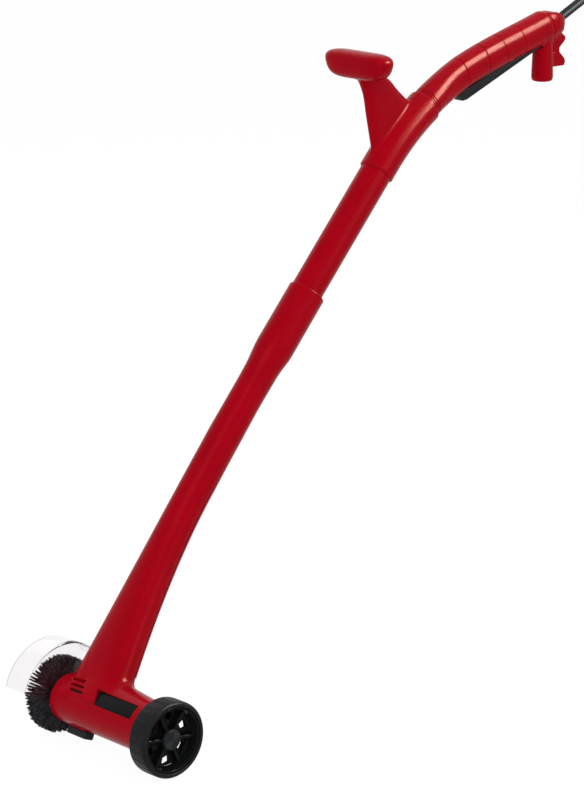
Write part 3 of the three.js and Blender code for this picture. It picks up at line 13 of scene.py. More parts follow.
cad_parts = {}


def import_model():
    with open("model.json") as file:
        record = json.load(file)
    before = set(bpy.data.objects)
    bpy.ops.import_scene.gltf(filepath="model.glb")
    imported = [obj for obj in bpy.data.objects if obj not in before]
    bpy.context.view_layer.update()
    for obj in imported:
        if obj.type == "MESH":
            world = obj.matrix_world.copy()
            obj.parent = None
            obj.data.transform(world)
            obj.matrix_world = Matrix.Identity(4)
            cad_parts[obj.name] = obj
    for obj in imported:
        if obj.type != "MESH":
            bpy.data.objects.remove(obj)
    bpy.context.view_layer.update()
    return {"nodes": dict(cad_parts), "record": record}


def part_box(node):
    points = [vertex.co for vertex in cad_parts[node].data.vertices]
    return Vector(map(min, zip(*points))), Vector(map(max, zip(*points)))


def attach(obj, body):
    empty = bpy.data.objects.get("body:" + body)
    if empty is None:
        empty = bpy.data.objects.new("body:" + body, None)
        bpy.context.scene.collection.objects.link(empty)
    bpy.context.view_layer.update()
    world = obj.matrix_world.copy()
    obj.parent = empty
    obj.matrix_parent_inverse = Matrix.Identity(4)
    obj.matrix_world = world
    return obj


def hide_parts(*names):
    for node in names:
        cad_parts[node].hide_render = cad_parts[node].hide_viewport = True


bl_info = {
    "name": "Electric patio cleaner",
    "version": (1, 0, 0),
    "blender": (4, 5, 0),
    "location": "3D view > Sidebar > Patio cleaner",
    "description": "Builds the visible pieces of an electric patio cleaner around its packed frame",
    "category": "Add Mesh",
}

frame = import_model()

# The machine's own frame: millimetres, the middle of the brush above the origin, its axle along Y
MM = 0.001
HUB_LOW, HUB_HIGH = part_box("brush_hub")
ORIGIN = np.array([(HUB_LOW.x + HUB_HIGH.x) / 2, (HUB_LOW.y + HUB_HIGH.y) / 2, 0.0])
DEGREE = math.pi / 180
X, Y, Z = np.eye(3)
CORNERS = ((-1, -1), (1, -1), (1, 1), (-1, 1))
AXLE = np.array([0.0, 0.0, 50.0])
WHEEL_AXIS = np.array([0.0, 0.0, 48.0])

# Barrel, shoulder that carries the stem, plate, lock and guard
BARREL_RADIUS, BARREL_START, BARREL_END = 31, -14, -188
SHOULDER_RADIUS, SHOULDER_START, SHOULDER_END = 28, -72, -183
VENT_FLOOR = 28.7
SCREW_DEPTH = 6.0
PLATE_ANGLE, PLATE_HALF, PLATE_THICKNESS = 128 * DEGREE, 9.5, 1.2
PLATE_FACE = BARREL_RADIUS - PLATE_HALF ** 2 / (2 * BARREL_RADIUS) + PLATE_THICKNESS
LOCK_ANGLE, LOCK_STEM_Y = -112 * DEGREE, -44.2
LOCK_LOW, LOCK_HIGH = [(c.y - ORIGIN[1]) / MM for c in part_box("lock_button")]
GUARD_START, GUARD_END, GUARD_RADIUS = 34 * DEGREE, 165 * DEGREE, 67.98
GUARD_BACK, GUARD_FRONT, GUARD_WALL = -11.4, 24.98, 1.6

# Stem
STEM_Y = -50.0
STEM_RADIUS = 21.0
STEM_FORWARD = 7.8
LOWER_LEAN, UPPER_LEAN, GRIP_LEAN = 38.7 * DEGREE, 41 * DEGREE, 72 * DEGREE
LOWER_LENGTH, UPPER_LENGTH = 492.0, 303.0
BEND_START = LOWER_LENGTH + UPPER_LENGTH
BEND_RADIUS = 352.0
BEND_LENGTH = BEND_RADIUS * (GRIP_LEAN - UPPER_LEAN)
FLARE_WIDTH, FLARE_LENGTH = 52.0, 289.0
SOCKET_MOUTH, SOCKET_RADIUS, SOCKET_TAPER, SOCKET_BORE = 594.0, 23.5, 39.0, 21.35
# Where the blended foot of the stem passes into the plain rings above it, and the points of a ring
JOIN_STATION, STEM_SIDES = 300, 168
TUBE_END = 813.0
SLEEVE_START, SLEEVE_END, SLEEVE_RADIUS = 778.0, 896.0, 23.4
GRIP_END = 1164.0
GRIP_HALF_WIDTH, GRIP_HALF_HEIGHT, GRIP_BLEND = 17.0, 21.5, 60.0
GRIP_END_ROUND, GRIP_END_SINK = 22.0, 4.0
SPRING_STATION, PIVOT_STATION = 984.0, 1112
RELIEF_RISE = 24.6 * DEGREE
RELIEF_LENGTH = 50.0
LEAD_RADIUS = 3.5
# The lead's way from the strain relief: back and up
LEAD_ROUTE = [
    (0, 0), (12, 5.5), (26, 10.8), (41, 13.2), (55, 11.5), (67, 5.5), (76, -4), (82, -16), (85, -30),
    (86.5, -50), (87, -75), (87, -105), (86.5, -140), (86, -175), (86, -210), (86, -240),
]


def along(lean):
    """The direction of the stem at a lean."""
    return np.array([math.sin(lean), 0.0, math.cos(lean)])


def outward(lean):
    """Square to the stem, towards its front and top."""
    return np.array([-math.cos(lean), 0.0, math.sin(lean)])


FOOT = AXLE + outward(LOWER_LEAN) * STEM_FORWARD + Y * STEM_Y
BEND = FOOT + along(LOWER_LEAN) * LOWER_LENGTH
CURVE_START = BEND + along(UPPER_LEAN) * UPPER_LENGTH
CURVE_CENTRE = CURVE_START - outward(UPPER_LEAN) * BEND_RADIUS
CURVE_END = CURVE_CENTRE + outward(GRIP_LEAN) * BEND_RADIUS


def stem_frame(station):
    """The point and the lean of the stem's middle line at a station."""
    if station < LOWER_LENGTH:
        return FOOT + along(LOWER_LEAN) * station, LOWER_LEAN
    if station < BEND_START:
        return BEND + along(UPPER_LEAN) * (station - LOWER_LENGTH), UPPER_LEAN
    if station < BEND_START + BEND_LENGTH:
        lean = UPPER_LEAN + (station - BEND_START) / BEND_RADIUS
        return CURVE_CENTRE + outward(lean) * BEND_RADIUS, lean
    return CURVE_END + along(GRIP_LEAN) * (station - BEND_START - BEND_LENGTH), GRIP_LEAN


def stem_point(station, out=0.0, aside=0.0):
    """A point at a station, out from the stem's line and to its side."""
    point, lean = stem_frame(station)
    return point + outward(lean) * out + Y * aside


POST_CENTRE = stem_point(GRIP_END - 33)
RELIEF_AXIS = np.array([math.cos(RELIEF_RISE), 0.0, math.sin(RELIEF_RISE)])
RELIEF_ROOT = stem_point(GRIP_END)


def world(points):
    """From the machine's frame in millimetres to the scene's in metres."""
    return np.asarray(points, float) * MM + ORIGIN


def machine(points):
    """From the scene's frame in metres to the machine's in millimetres."""
    return (points - ORIGIN) / MM


def sizes():
    return bpy.context.scene.patio_sizes


# Meshes
def placed(name, data):
    """A new object in the scene."""
    obj = bpy.data.objects.new(name, data)
    bpy.context.scene.collection.objects.link(obj)
    return obj


@contextmanager
def opened(obj):
    """The mesh of an object, open for changes that are written back at the end."""
    bm = bmesh.new()
    bm.from_mesh(obj.data)
    yield bm
    bm.to_mesh(obj.data)
    bm.free()


def mesh_object(name, points, faces):
    """A mesh object from points in millimetres, smooth and with all faces turned outward."""
    mesh = bpy.data.meshes.new(name)
    mesh.from_pydata([tuple(p) for p in world(points)], [], [tuple(int(i) for i in f) for f in faces])
    mesh.validate()
    obj = placed(name, mesh)
    with opened(obj) as bm:
        bmesh.ops.recalc_face_normals(bm, faces=bm.faces)
    smooth(obj)
    return obj


def smooth(obj, angle=38):
    """Shades an object smooth, with edges over an angle in degrees kept sharp."""
    obj.data.polygons.foreach_set("use_smooth", [True] * len(obj.data.polygons))
    obj.data.set_sharp_from_angle(angle=angle * DEGREE)
    obj.data.update()


def rings_mesh(rings, closed=False):
    """Points and faces of a skin over rings of equal count, with flat ends, or closed on itself."""
    rings = [np.asarray(r, float) for r in rings]
    count, total = len(rings[0]), len(rings)
    points = np.vstack(rings)
    faces = []
    for r in range(total if closed else total - 1):
        a, b = r * count, ((r + 1) % total) * count
        for i in range(count):
            j = (i + 1) % count
            faces.append((a + i, a + j, b + j, b + i))
    if not closed:
        faces.append(tuple(range(count - 1, -1, -1)))
        faces.append(tuple(range((total - 1) * count, total * count)))
    return points, faces


def loft(name, rings, closed=False):
    return mesh_object(name, *rings_mesh(rings, closed))


def rounded(corners, closed=True, steps=4):
    """A flat outline whose corners (a, b, radius) are rounded off."""
    out = []
    count = len(corners)
    for i, corner in enumerate(corners):
        p, radius = np.array(corner[:2], float), (corner[2] if len(corner) > 2 else 0)
        if radius <= 0 or (not closed and i in (0, count - 1)):
            out.append(p)
            continue
        a = np.array(corners[i - 1][:2], float) - p
        b = np.array(corners[(i + 1) % count][:2], float) - p
        la, lb = np.linalg.norm(a), np.linalg.norm(b)
        a, b = a / la, b / lb
        half = math.acos(max(-1.0, min(1.0, a @ b))) / 2
        reach = min(radius / math.tan(half), la * 0.49, lb * 0.49)
        middle = (a + b) / np.linalg.norm(a + b)
        centre = p + middle * reach / math.cos(half)
        u, v = p + a * reach - centre, p + b * reach - centre
        turn = math.atan2(u[0] * v[1] - u[1] * v[0], u @ v)
        for k in range(steps + 1):
            c, s = math.cos(turn * k / steps), math.sin(turn * k / steps)
            out.append(centre + np.array([u[0] * c - u[1] * s, u[0] * s + u[1] * c]))
    return np.array(out)


def lathe(name, profile, sides=96, centre=AXLE, axis=Y, closed=False):
    """A body turned about an axis; the profile is a list of (radius, reach along the axis)."""
    axis = np.asarray(axis, float) / np.linalg.norm(axis)
    u = np.cross(axis, X if abs(axis[0]) < 0.9 else Y)
    u /= np.linalg.norm(u)
    v = np.cross(axis, u)
    angles = np.arange(sides) * 2 * math.pi / sides
    circle = np.outer(np.cos(angles), u) + np.outer(np.sin(angles), v)
    rings = [centre + circle * max(r, 0.01) + axis * y for r, y in profile]
    return loft(name, rings, closed)


def turned_body(name, corners, sides=96, centre=AXLE, axis=Y, closed=False, steps=4):
    """A body turned about an axis whose profile has rounded corners; closed where it has a hole."""
    return lathe(name, rounded(corners, closed, steps), sides, centre, axis, closed)


def rounded_box(half_width, half_height, radius, steps=4):
    """The outline of a rectangle about the origin with rounded corners."""
    return rounded([(a * half_width, b * half_height, radius) for a, b in CORNERS], steps=steps)


def inset(outline, amount):
    """The outline moved inward by an amount."""
    area = np.sum(outline[:, 0] * np.roll(outline[:, 1], -1) - np.roll(outline[:, 0], -1) * outline[:, 1])
    turn = 1 if area > 0 else -1
    before, after = outline - np.roll(outline, 1, 0), np.roll(outline, -1, 0) - outline
    square = [np.stack([-e[:, 1], e[:, 0]], 1) / np.maximum(np.linalg.norm(e, axis=1), 1e-9)[:, None]
              for e in (before, after)]
    middle = square[0] + square[1]
    middle /= np.maximum(np.linalg.norm(middle, axis=1), 1e-9)[:, None]
    stretch = 1 / np.maximum(0.4, np.sum(middle * square[0], 1))
    return outline + middle * (amount * turn * stretch)[:, None]


def slab(name, outline, low, high, origin=(0, 0, 0), axes=(X, Z, Y), edge=0.8, steps=3):
    """A plate with rounded rims: an outline in the first two axes, given a height along the third."""
    axes = np.array(axes, float)
    outline = np.asarray(outline, float)
    heights = []
    for k in range(steps + 1):
        angle = k * math.pi / 2 / steps
        heights.append((low + edge * (1 - math.sin(angle)), edge * (1 - math.cos(angle))))
    heights = heights[::-1]
    heights += [(high + low - h, i) for h, i in heights[::-1]]
    rings = []
    for height, sink in heights:
        flat = inset(outline, sink) if sink > 0 else outline
        rings.append(np.asarray(origin, float) + flat @ axes[:2] + axes[2] * height)
    return loft(name, rings)
def prism(name, outline, low, high, origin=(0, 0, 0), axes=(X, Z, Y), edge=0.1):
    """A plate with nearly sharp rims, to cut with."""
    return slab(name, outline, low, high, origin, axes, edge, steps=1)

def oval(centre, side, up, half_side, half_up, count=96, power=2.0):
    """A ring between an ellipse (power 2) and a rounded box (higher powers)."""
    angles = np.arange(count) * 2 * math.pi / count
    c, s = np.cos(angles), np.sin(angles)
    reach = np.sign(c) * np.abs(c) ** (2 / power) * half_side
    rise = np.sign(s) * np.abs(s) ** (2 / power) * half_up
    return np.asarray(centre) + np.outer(reach, side) + np.outer(rise, up)


def even(ring):
    """The same closed ring with its points spread evenly along it."""
    closed = np.vstack([ring, ring[:1]])
    steps = np.linalg.norm(np.diff(closed, axis=0), axis=1)
    reach = np.concatenate([[0], np.cumsum(steps)])
    wanted = np.linspace(0, reach[-1], len(ring), endpoint=False)
    return np.stack([np.interp(wanted, reach, closed[:, k]) for k in range(3)], 1)


def bar(name, start, end, radius, sides=32, edge=0.3):
    """A round bar between two points, its rims slightly rounded."""
    start, end = np.asarray(start, float), np.asarray(end, float)
    length = np.linalg.norm(end - start)
    profile = [(0, 0), (radius, 0, edge), (radius, length, edge), (0, length)]
    return turned_body(name, profile, sides, start, (end - start) / length)


def joined(name, *objects):
    """One object from several, which are removed."""
    bm = bmesh.new()
    for obj in objects:
        bm.from_mesh(obj.data)
    mesh = bpy.data.meshes.new(name)
    bm.to_mesh(mesh)
    bm.free()
    for finish in objects[0].data.materials:
        mesh.materials.append(finish)
    for obj in objects:
        remove(obj)
    whole = placed(name, mesh)
    smooth(whole)
    return whole


def remove(obj):
    mesh = obj.data
    bpy.data.objects.remove(obj)
    if mesh.users == 0:
        bpy.data.meshes.remove(mesh)


def applied(obj):
    """Replaces the mesh of an object by the one that its modifiers make."""
    graph = bpy.context.evaluated_depsgraph_get()
    graph.update()
    mesh = bpy.data.meshes.new_from_object(obj.evaluated_get(graph), preserve_all_data_layers=True, depsgraph=graph)
    obj.modifiers.clear()
    old = obj.data
    obj.data = mesh
    if old.users == 0:
        bpy.data.meshes.remove(old)
    return obj


def carved(obj, *cutters, operation="DIFFERENCE"):
    """The object with others cut out of it, or united with it; these are removed."""
    for cutter in cutters:
        change = obj.modifiers.new("cut", "BOOLEAN")
        change.operation = operation
        change.solver = "MANIFOLD"
        change.object = cutter
    applied(obj)
    for cutter in cutters:
        remove(cutter)
    smooth(obj)
    return obj


class Field:
    """Signed distances to a closed skin; the sign comes from normals blended over its faces."""

    def __init__(self, obj):
        mesh = obj.data
        mesh.calc_loop_triangles()
        self.points = coordinates(mesh)
        self.corners = np.zeros(len(mesh.loop_triangles) * 3, int)
        mesh.loop_triangles.foreach_get("vertices", self.corners)
        self.corners = self.corners.reshape(-1, 3)
        self.normals = directions(mesh)
        self.tree = BVHTree.FromPolygons(self.points.tolist(), self.corners.tolist())

    def at(self, points):
        """The distance at each point and the direction in which it grows."""
        found = [self.tree.find_nearest(p) for p in points.tolist()]
        near = np.array([f[0] for f in found])
        corners = self.corners[[f[2] for f in found]]
        distance = np.array([f[3] for f in found])
        a, b, c = (self.points[corners[:, k]] for k in range(3))
        whole = np.cross(b - a, c - a)
        size = np.maximum(np.sum(whole * whole, 1), 1e-30)
        v = np.clip(np.sum(np.cross(near - a, c - a) * whole, 1) / size, 0, 1)[:, None]
        w = np.clip(np.sum(np.cross(b - a, near - a) * whole, 1) / size, 0, 1)[:, None]
        n, m, o = (self.normals[corners[:, k]] for k in range(3))
        normal = n * (1 - v - w) + m * v + o * w
        normal /= np.maximum(np.linalg.norm(normal, axis=1), 1e-9)[:, None]
        away = points - near
        sign = np.where(np.sum(away * normal, 1) >= 0, 1.0, -1.0)
        slope = np.where((distance > 2e-6)[:, None], away * (sign / np.maximum(distance, 1e-9))[:, None], normal)
        return distance * sign, slope


def coordinates(mesh):
    points = np.zeros(len(mesh.vertices) * 3)
    mesh.vertices.foreach_get("co", points)
    return points.reshape(-1, 3)


def directions(mesh):
    normals = np.zeros(len(mesh.vertices) * 3)
    mesh.vertex_normals.foreach_get("vector", normals)
    return normals.reshape(-1, 3)


def set_coordinates(mesh, points):
    mesh.vertices.foreach_set("co", points.ravel())
    mesh.update()


def soft_union(name, parts, coarseness, blend, rounds=5):
    """One closed skin over several closed parts, with a fillet of about the blend where they meet."""
    voxel = sizes().skin_step / MM * coarseness
    fields = [Field(part) for part in parts]
    whole = joined(name, *parts)
    change = whole.modifiers.new("skin", "REMESH")
    change.mode = "VOXEL"
    change.voxel_size = voxel * MM
    change.use_smooth_shade = True
    applied(whole)
    points = coordinates(whole.data)
    reach, step = blend * MM, 2 * voxel * MM
    moving = np.arange(len(points))
    for _ in range(rounds):
        here = points[moving]
        field, slope = fields[0].at(here)
        for part in fields[1:]:
            other, turn = part.at(here)
            share = np.clip(0.5 + 0.5 * (other - field) / reach, 0, 1)
            slope = slope * share[:, None] + turn * (1 - share[:, None])
            field = other * (1 - share) + field * share - reach * share * (1 - share)
        size = np.maximum(np.sum(slope * slope, 1), 0.3)
        points[moving] = here - slope * (np.clip(field, -step, step) / size)[:, None]
        moving = moving[np.abs(field) > 2e-6]
        if len(moving) == 0:
            break
    set_coordinates(whole.data, points)
    smooth(whole, 50)
    return whole


def bisect(bm, point, normal, dist=1e-7, **sides):
    """Cuts an open mesh along a plane, given in millimetres."""
    bmesh.ops.bisect_plane(
        bm, geom=bm.verts[:] + bm.edges[:] + bm.faces[:], dist=dist, plane_co=Vector(world(point)),
        plane_no=Vector(normal), **sides)


def cut_loops(obj, planes):
    """New edge loops where planes (point, normal) pass through the mesh."""
    with opened(obj) as bm:
        for point, normal in planes:
            bisect(bm, point, normal, 1e-6)


def grooved(obj, places):
    """Shallow grooves round the stem at (station, depth, width)."""
    for station, depth, width in places:
        point, lean = stem_frame(station)
        way = along(lean)
        cut_loops(obj, [(point + way * width * share, way) for share in (-0.5, -0.25, 0.0, 0.25, 0.5)])
        co, no = coordinates(obj.data), directions(obj.data)
        away = machine(co) - point
        reach = np.abs(away @ way)
        near = (reach < width / 2) & (np.linalg.norm(away, axis=1) < 40)
        sink = np.where(near, depth * (0.5 + 0.5 * np.cos(math.pi * np.clip(2 * reach / width, 0, 1))), 0)
        flat = no - np.outer(no @ way, way)
        set_coordinates(obj.data, co - flat * (sink * MM)[:, None])


def split(obj, names, point=Y * STEM_Y, normal=Y, lip=2.4):
    """Two pieces on either side of a plane, each with a lip that runs inward along the parting line."""
    halves = []
    for name, sign in zip(names, (1, -1)):
        bm = bmesh.new()
        bm.from_mesh(obj.data)
        edge = point + normal * sign * (sizes().parting_gap / MM) / 2
        place, way = Vector(world(edge)), Vector(normal * sign)
        bisect(bm, edge, way, clear_inner=True)
        rims = [e for e in bm.edges if e.is_boundary and all(abs((v.co - place).dot(way)) < 1e-5 for v in e.verts)]
        bm.normal_update()
        turns = {spot_key(v): v.normal - way * v.normal.dot(way) for e in rims for v in e.verts}
        grown = bmesh.ops.extrude_edge_only(bm, edges=rims)["geom"]
        for v in [g for g in grown if isinstance(g, bmesh.types.BMVert)]:
            turn = turns.get(spot_key(v))
            if turn and turn.length > 0.1:
                v.co -= turn.normalized() * lip * MM
        mesh = bpy.data.meshes.new(name)
        bm.to_mesh(mesh)
        bm.free()
        halves.append(placed(name, mesh))
        smooth(halves[-1], 42)
    remove(obj)
    return halves


def spot_key(vertex):
    """The place of a vertex to a tenth of a micrometre."""
    return tuple(round(c, 7) for c in vertex.co)


# Node trees
def add_node(tree, kind, inputs=None, **settings):
    """A new node whose inputs are given values or the sockets that feed them."""
    made = tree.nodes.new(kind)
    for key, value in settings.items():
        setattr(made, key, value)
    for key, value in (inputs or {}).items():
        if isinstance(value, bpy.types.NodeSocket):
            tree.links.new(value, made.inputs[key])
        else:
            made.inputs[key].default_value = value
    return made


class Tree:
    """A Geometry Nodes tree with named inputs, built a node at a time."""

    def __init__(self, name, *inputs):
        self.tree = bpy.data.node_groups.new(name, "GeometryNodeTree")
        for label, kind, value in (*inputs, ("Material", "Material", None)):
            socket = self.tree.interface.new_socket(label, in_out="INPUT", socket_type="NodeSocket" + kind)
            if value is not None:
                socket.default_value = value
        self.tree.interface.new_socket("Geometry", in_out="OUTPUT", socket_type="NodeSocketGeometry")
        self.given = self.tree.nodes.new("NodeGroupInput").outputs

    def out(self, kind, inputs=None, socket=0, **settings):
        """An output of a new node."""
        return add_node(self.tree, kind, inputs, **settings).outputs[socket]

    def math(self, operation, *values):
        return self.out("ShaderNodeMath", dict(enumerate(values)), operation=operation)

    def plus(self, a, b):
        return self.math("ADD", a, b)

    def minus(self, a, b):
        return self.math("SUBTRACT", a, b)

    def times(self, a, b):
        return self.math("MULTIPLY", a, b)

    def vector(self, x=0.0, y=0.0, z=0.0):
        return self.out("ShaderNodeCombineXYZ", {0: x, 1: y, 2: z})

    def around(self, radius, angle, aside=0.0):
        """A place at a radius and an angle round the Y axis."""
        return self.vector(self.times(radius, self.math("COSINE", angle)), aside,
                           self.times(radius, self.math("SINE", angle)))

    def points(self, place):
        return self.out("GeometryNodePoints", {"Count": self.given["Count"], "Position": place})

    def towards(self, way):
        """The turn that lays Z along a direction."""
        return self.out("FunctionNodeAlignRotationToVector", {"Vector": way}, axis="Z")

    def object(self, label):
        return self.out("GeometryNodeObjectInfo", {"Object": self.given[label]}, "Geometry")

    def copies(self, points, **turns):
        """Ends the tree in copies of its piece on points."""
        return self.end(self.out(
            "GeometryNodeInstanceOnPoints", {"Points": points, "Instance": self.object("Piece"), **turns}))

    def end(self, instances):
        whole = self.out("GeometryNodeRealizeInstances", {"Geometry": instances})
        painted = self.out("GeometryNodeSetMaterial", {"Geometry": whole, "Material": self.given["Material"]})
        add_node(self.tree, "NodeGroupOutput", {"Geometry": painted})
        return self.tree


def copies_tree():
    """Copies of an object spread evenly round the Y axis."""
    t = Tree("copies round an axle", ("Piece", "Object", None), ("Count", "Int", 6), ("Radius", "Float", 0.02),
             ("Start", "Float", 0.0))
    step = t.math("DIVIDE", 2 * math.pi, t.given["Count"])
    angle = t.plus(t.given["Start"], t.times(t.out("GeometryNodeInputIndex"), step))
    points = t.points(t.around(t.given["Radius"], angle))
    return t.copies(points, Rotation=t.vector(0.0, t.times(angle, -1.0), 0.0))


def line_tree():
    """Copies of an object in a line along Z, whose size changes evenly to that of the last."""
    t = Tree("copies along a line", ("Piece", "Object", None), ("Count", "Int", 9), ("Length", "Float", 0.04),
             ("End scale", "Float", 0.8))
    share = t.math("DIVIDE", t.out("GeometryNodeInputIndex"), t.minus(t.given["Count"], 1.0))
    points = t.points(t.vector(0.0, 0.0, t.times(share, t.given["Length"])))
    size = t.plus(1.0, t.times(share, t.minus(t.given["End scale"], 1.0)))
    return t.copies(points, Scale=t.vector(size, size, 1.0))


def scatter_tree():
    """Copies of an object on the points of another, each turned to the point's own direction."""
    t = Tree("copies on points", ("Piece", "Object", None), ("Places", "Object", None))
    facing = t.out("GeometryNodeInputNamedAttribute", {"Name": "facing"}, data_type="FLOAT_VECTOR")
    return t.copies(t.object("Places"), Rotation=t.towards(facing))


def bristle_tree():
    """A sector of a round brush: strands from the hub outward, each slightly bent and cut to its own length."""
    t = Tree(
        "bristles", ("Count", "Int", 800), ("Root radius", "Float", 0.019), ("Tip radius", "Float", 0.049),
        ("Unevenness", "Float", 0.002), ("Root spread", "Float", 0.007), ("Tip spread", "Float", 0.009),
        ("Start", "Float", 0.0), ("Sweep", "Float", math.pi / 2), ("Thickness", "Float", 0.0003),
        ("Bend", "Float", 0.001), ("Tufts", "Int", 17), ("Seed", "Int", 3),
    )

    def chance(low, high, salt, key=None):
        """A random value of its own for each strand, or for each key."""
        inputs = {2: low, 3: high, 8: t.plus(t.given["Seed"], float(salt))}
        if key is not None:
            inputs[7] = key
        return t.out("FunctionNodeRandomValue", inputs, 1, data_type="FLOAT")

    def vector_math(operation, inputs, socket=0):
        return t.out("ShaderNodeVectorMath", inputs, socket, operation=operation)

    place = t.times(chance(0.004, 0.996, 0), t.given["Tufts"])
    tuft = t.math("FLOOR", place)
    spot = t.minus(t.minus(place, tuft), 0.5)
    pitch = t.math("DIVIDE", t.given["Sweep"], t.given["Tufts"])

    def turned(offset):
        return t.plus(t.given["Start"], t.times(pitch, t.plus(t.plus(tuft, 0.5), offset)))

    across = chance(-1.0, 1.0, 11)
    shift = t.plus(chance(-0.12, 0.12, 5, tuft), chance(-0.14, 0.14, 23))
    lean = turned(t.plus(t.times(spot, 0.4), shift))
    cut = t.plus(chance(0.0, 0.5, 29, tuft), chance(0.0, 0.5, 37))
    length = t.minus(t.given["Tip radius"], t.times(t.given["Unevenness"], cut))
    root = t.around(t.given["Root radius"], turned(spot), t.times(across, t.given["Root spread"]))
    tip = t.around(length, lean, t.times(across, t.given["Tip spread"]))
    run = vector_math("SUBTRACT", {0: tip, 1: root})
    reach = vector_math("LENGTH", {0: run}, "Value")
    line = t.out("GeometryNodeCurvePrimitiveLine", {"Start": (0, 0, 0), "End": (0, 0, 1)})
    line = t.out("GeometryNodeResampleCurve", {"Curve": line, "Count": 5})
    strands = t.out("GeometryNodeInstanceOnPoints", {
        "Points": t.points(root), "Instance": line, "Rotation": t.towards(run),
        "Scale": t.vector(reach, reach, reach),
    })
    whole = t.out("GeometryNodeRealizeInstances", {"Geometry": strands})
    share = t.out("GeometryNodeSplineParameter", socket="Factor")
    wave = t.out("ShaderNodeTexNoise", {"Scale": 60.0, "Detail": 1.0}, "Color", noise_dimensions="3D")
    wave = vector_math("SUBTRACT", {0: wave, 1: (0.5, 0.5, 0.5)})
    amount = t.times(t.math("POWER", share, 2.0), t.given["Bend"])
    offset = vector_math("SCALE", {0: wave, "Scale": amount})
    bent = t.out("GeometryNodeSetPosition", {"Geometry": whole, "Offset": offset})
    section = t.out("GeometryNodeCurvePrimitiveCircle", {"Resolution": 4, "Radius": t.given["Thickness"]})
    return t.end(t.out("GeometryNodeCurveToMesh", {"Curve": bent, "Profile Curve": section, "Fill Caps": True}))


def from_tree(name, tree, values, centre=(0, 0, 0), axes=None):
    """The plain mesh that a tree makes, moved to a centre in millimetres and turned to new X, Y and Z axes."""
    obj = placed(name, bpy.data.meshes.new(name))
    change = obj.modifiers.new("nodes", "NODES")
    change.node_group = tree
    for item in tree.interface.items_tree:
        if item.in_out == "INPUT" and item.name in values:
            change[item.identifier] = values[item.name]
    applied(obj)
    points = coordinates(obj.data)
    if axes is not None:
        points = points @ np.array(axes, float)
    set_coordinates(obj.data, points + world(centre))
    smooth(obj)
    return obj


def local(obj):
    """Moves a piece that was made in the machine's frame so that its own origin is the scene's."""
    set_coordinates(obj.data, coordinates(obj.data) - ORIGIN)
    return obj


def repeated(name, tree, piece, finish, values, centre, axes=None):
    """The mesh that a tree makes of a piece, which is removed."""
    values = {"Piece": local(piece), "Material": MATERIALS[finish], **values}
    whole = from_tree(name, tree, values, centre, axes)
    remove(piece)
    return whole


# Materials
GRAIN_DEPTH = 0.0002


def emptied(data):
    """The node tree of a material or world, with nothing in it yet."""
    data.use_nodes = True
    data.node_tree.nodes.clear()
    return data.node_tree


def material(name, colour, other, roughness, *, spread=0.08, patch=18.0, grain=900.0, bump=0.06,
             metallic=0.0, specular=0.3, wear=0.0, stretch=(1, 1, 1), transmission=0.0, ior=1.5,
             bias=0.0, spokes=None, sheen=(1, 1, 1)):
    """A surface whose colour, roughness and fine relief vary over it; its edges may be worn paler.

    A bias gives the first colour the larger part; spokes is a point from which the pattern runs outward;
    the sheen is the colour of its reflections.
    """
    made = bpy.data.materials.new(name)
    tree = emptied(made)

    def out(kind, inputs=None, socket=0, **settings):
        return add_node(tree, kind, inputs, **settings).outputs[socket]

    def mixed(factor, first, second):
        return out("ShaderNodeMix", {"Factor": factor, 6: first, 7: second}, 2, data_type="RGBA")

    def ranged(value, low, high, to_low=0.0, to_high=1.0):
        return out("ShaderNodeMapRange", {
            "Value": value, "From Min": low, "From Max": high, "To Min": to_low, "To Max": to_high})

    place = out("ShaderNodeTexCoord", socket="Object")
    if spokes is not None:
        place = out("ShaderNodeVectorMath", {0: place, 1: spokes}, operation="SUBTRACT")
        x, y, z = add_node(tree, "ShaderNodeSeparateXYZ", {0: place}).outputs
        angle = out("ShaderNodeMath", {0: z, 1: x}, operation="ARCTAN2")
        flat = out("ShaderNodeCombineXYZ", {0: x, 2: z})
        reach = out("ShaderNodeVectorMath", {0: flat}, "Value", operation="LENGTH")
        place = out("ShaderNodeCombineXYZ", {0: angle, 1: y, 2: reach})
    place = out("ShaderNodeMapping", {"Vector": place, "Scale": stretch})
    clouds = out("ShaderNodeTexNoise", {"Vector": place, "Scale": patch, "Detail": 4.0, "Roughness": 0.55})
    fine = out("ShaderNodeTexNoise", {"Vector": place, "Scale": grain, "Detail": 3.0, "Roughness": 0.6})
    tint = mixed(ranged(clouds, 0.3 + bias, 0.7 + bias), (*colour, 1), (*other, 1))
    if wear > 0:
        edge = ranged(out("ShaderNodeNewGeometry", socket="Pointiness"), 0.505, 0.56, 0.0, wear)
        tint = mixed(edge, tint, (*[min(1.0, c * 1.5 + 0.04) for c in colour], 1))
    shader = out("ShaderNodeBsdfPrincipled", {
        "Base Color": tint, "Metallic": metallic, "IOR": ior, "Transmission Weight": transmission,
        "Roughness": ranged(fine, 0.3, 0.7, max(0.02, roughness - spread), min(1.0, roughness + spread)),
        "Normal": out("ShaderNodeBump", {"Height": fine, "Strength": bump, "Distance": GRAIN_DEPTH}),
        "Specular IOR Level": specular, "Specular Tint": (*sheen, 1),
    })
    add_node(tree, "ShaderNodeOutputMaterial", {"Surface": shader})
    return made


def count_property(name, description, default, low, high):
    return bpy.props.IntProperty(name=name, description=description, default=default, min=low, max=high)


def length_property(name, description, default, precision=4):
    return bpy.props.FloatProperty(
        name=name, description=description, default=default, unit="LENGTH", precision=precision)


def colour_property(name, description, default):
    return bpy.props.FloatVectorProperty(
        name=name, description=description, default=default, subtype="COLOR", size=3, min=0, max=1)


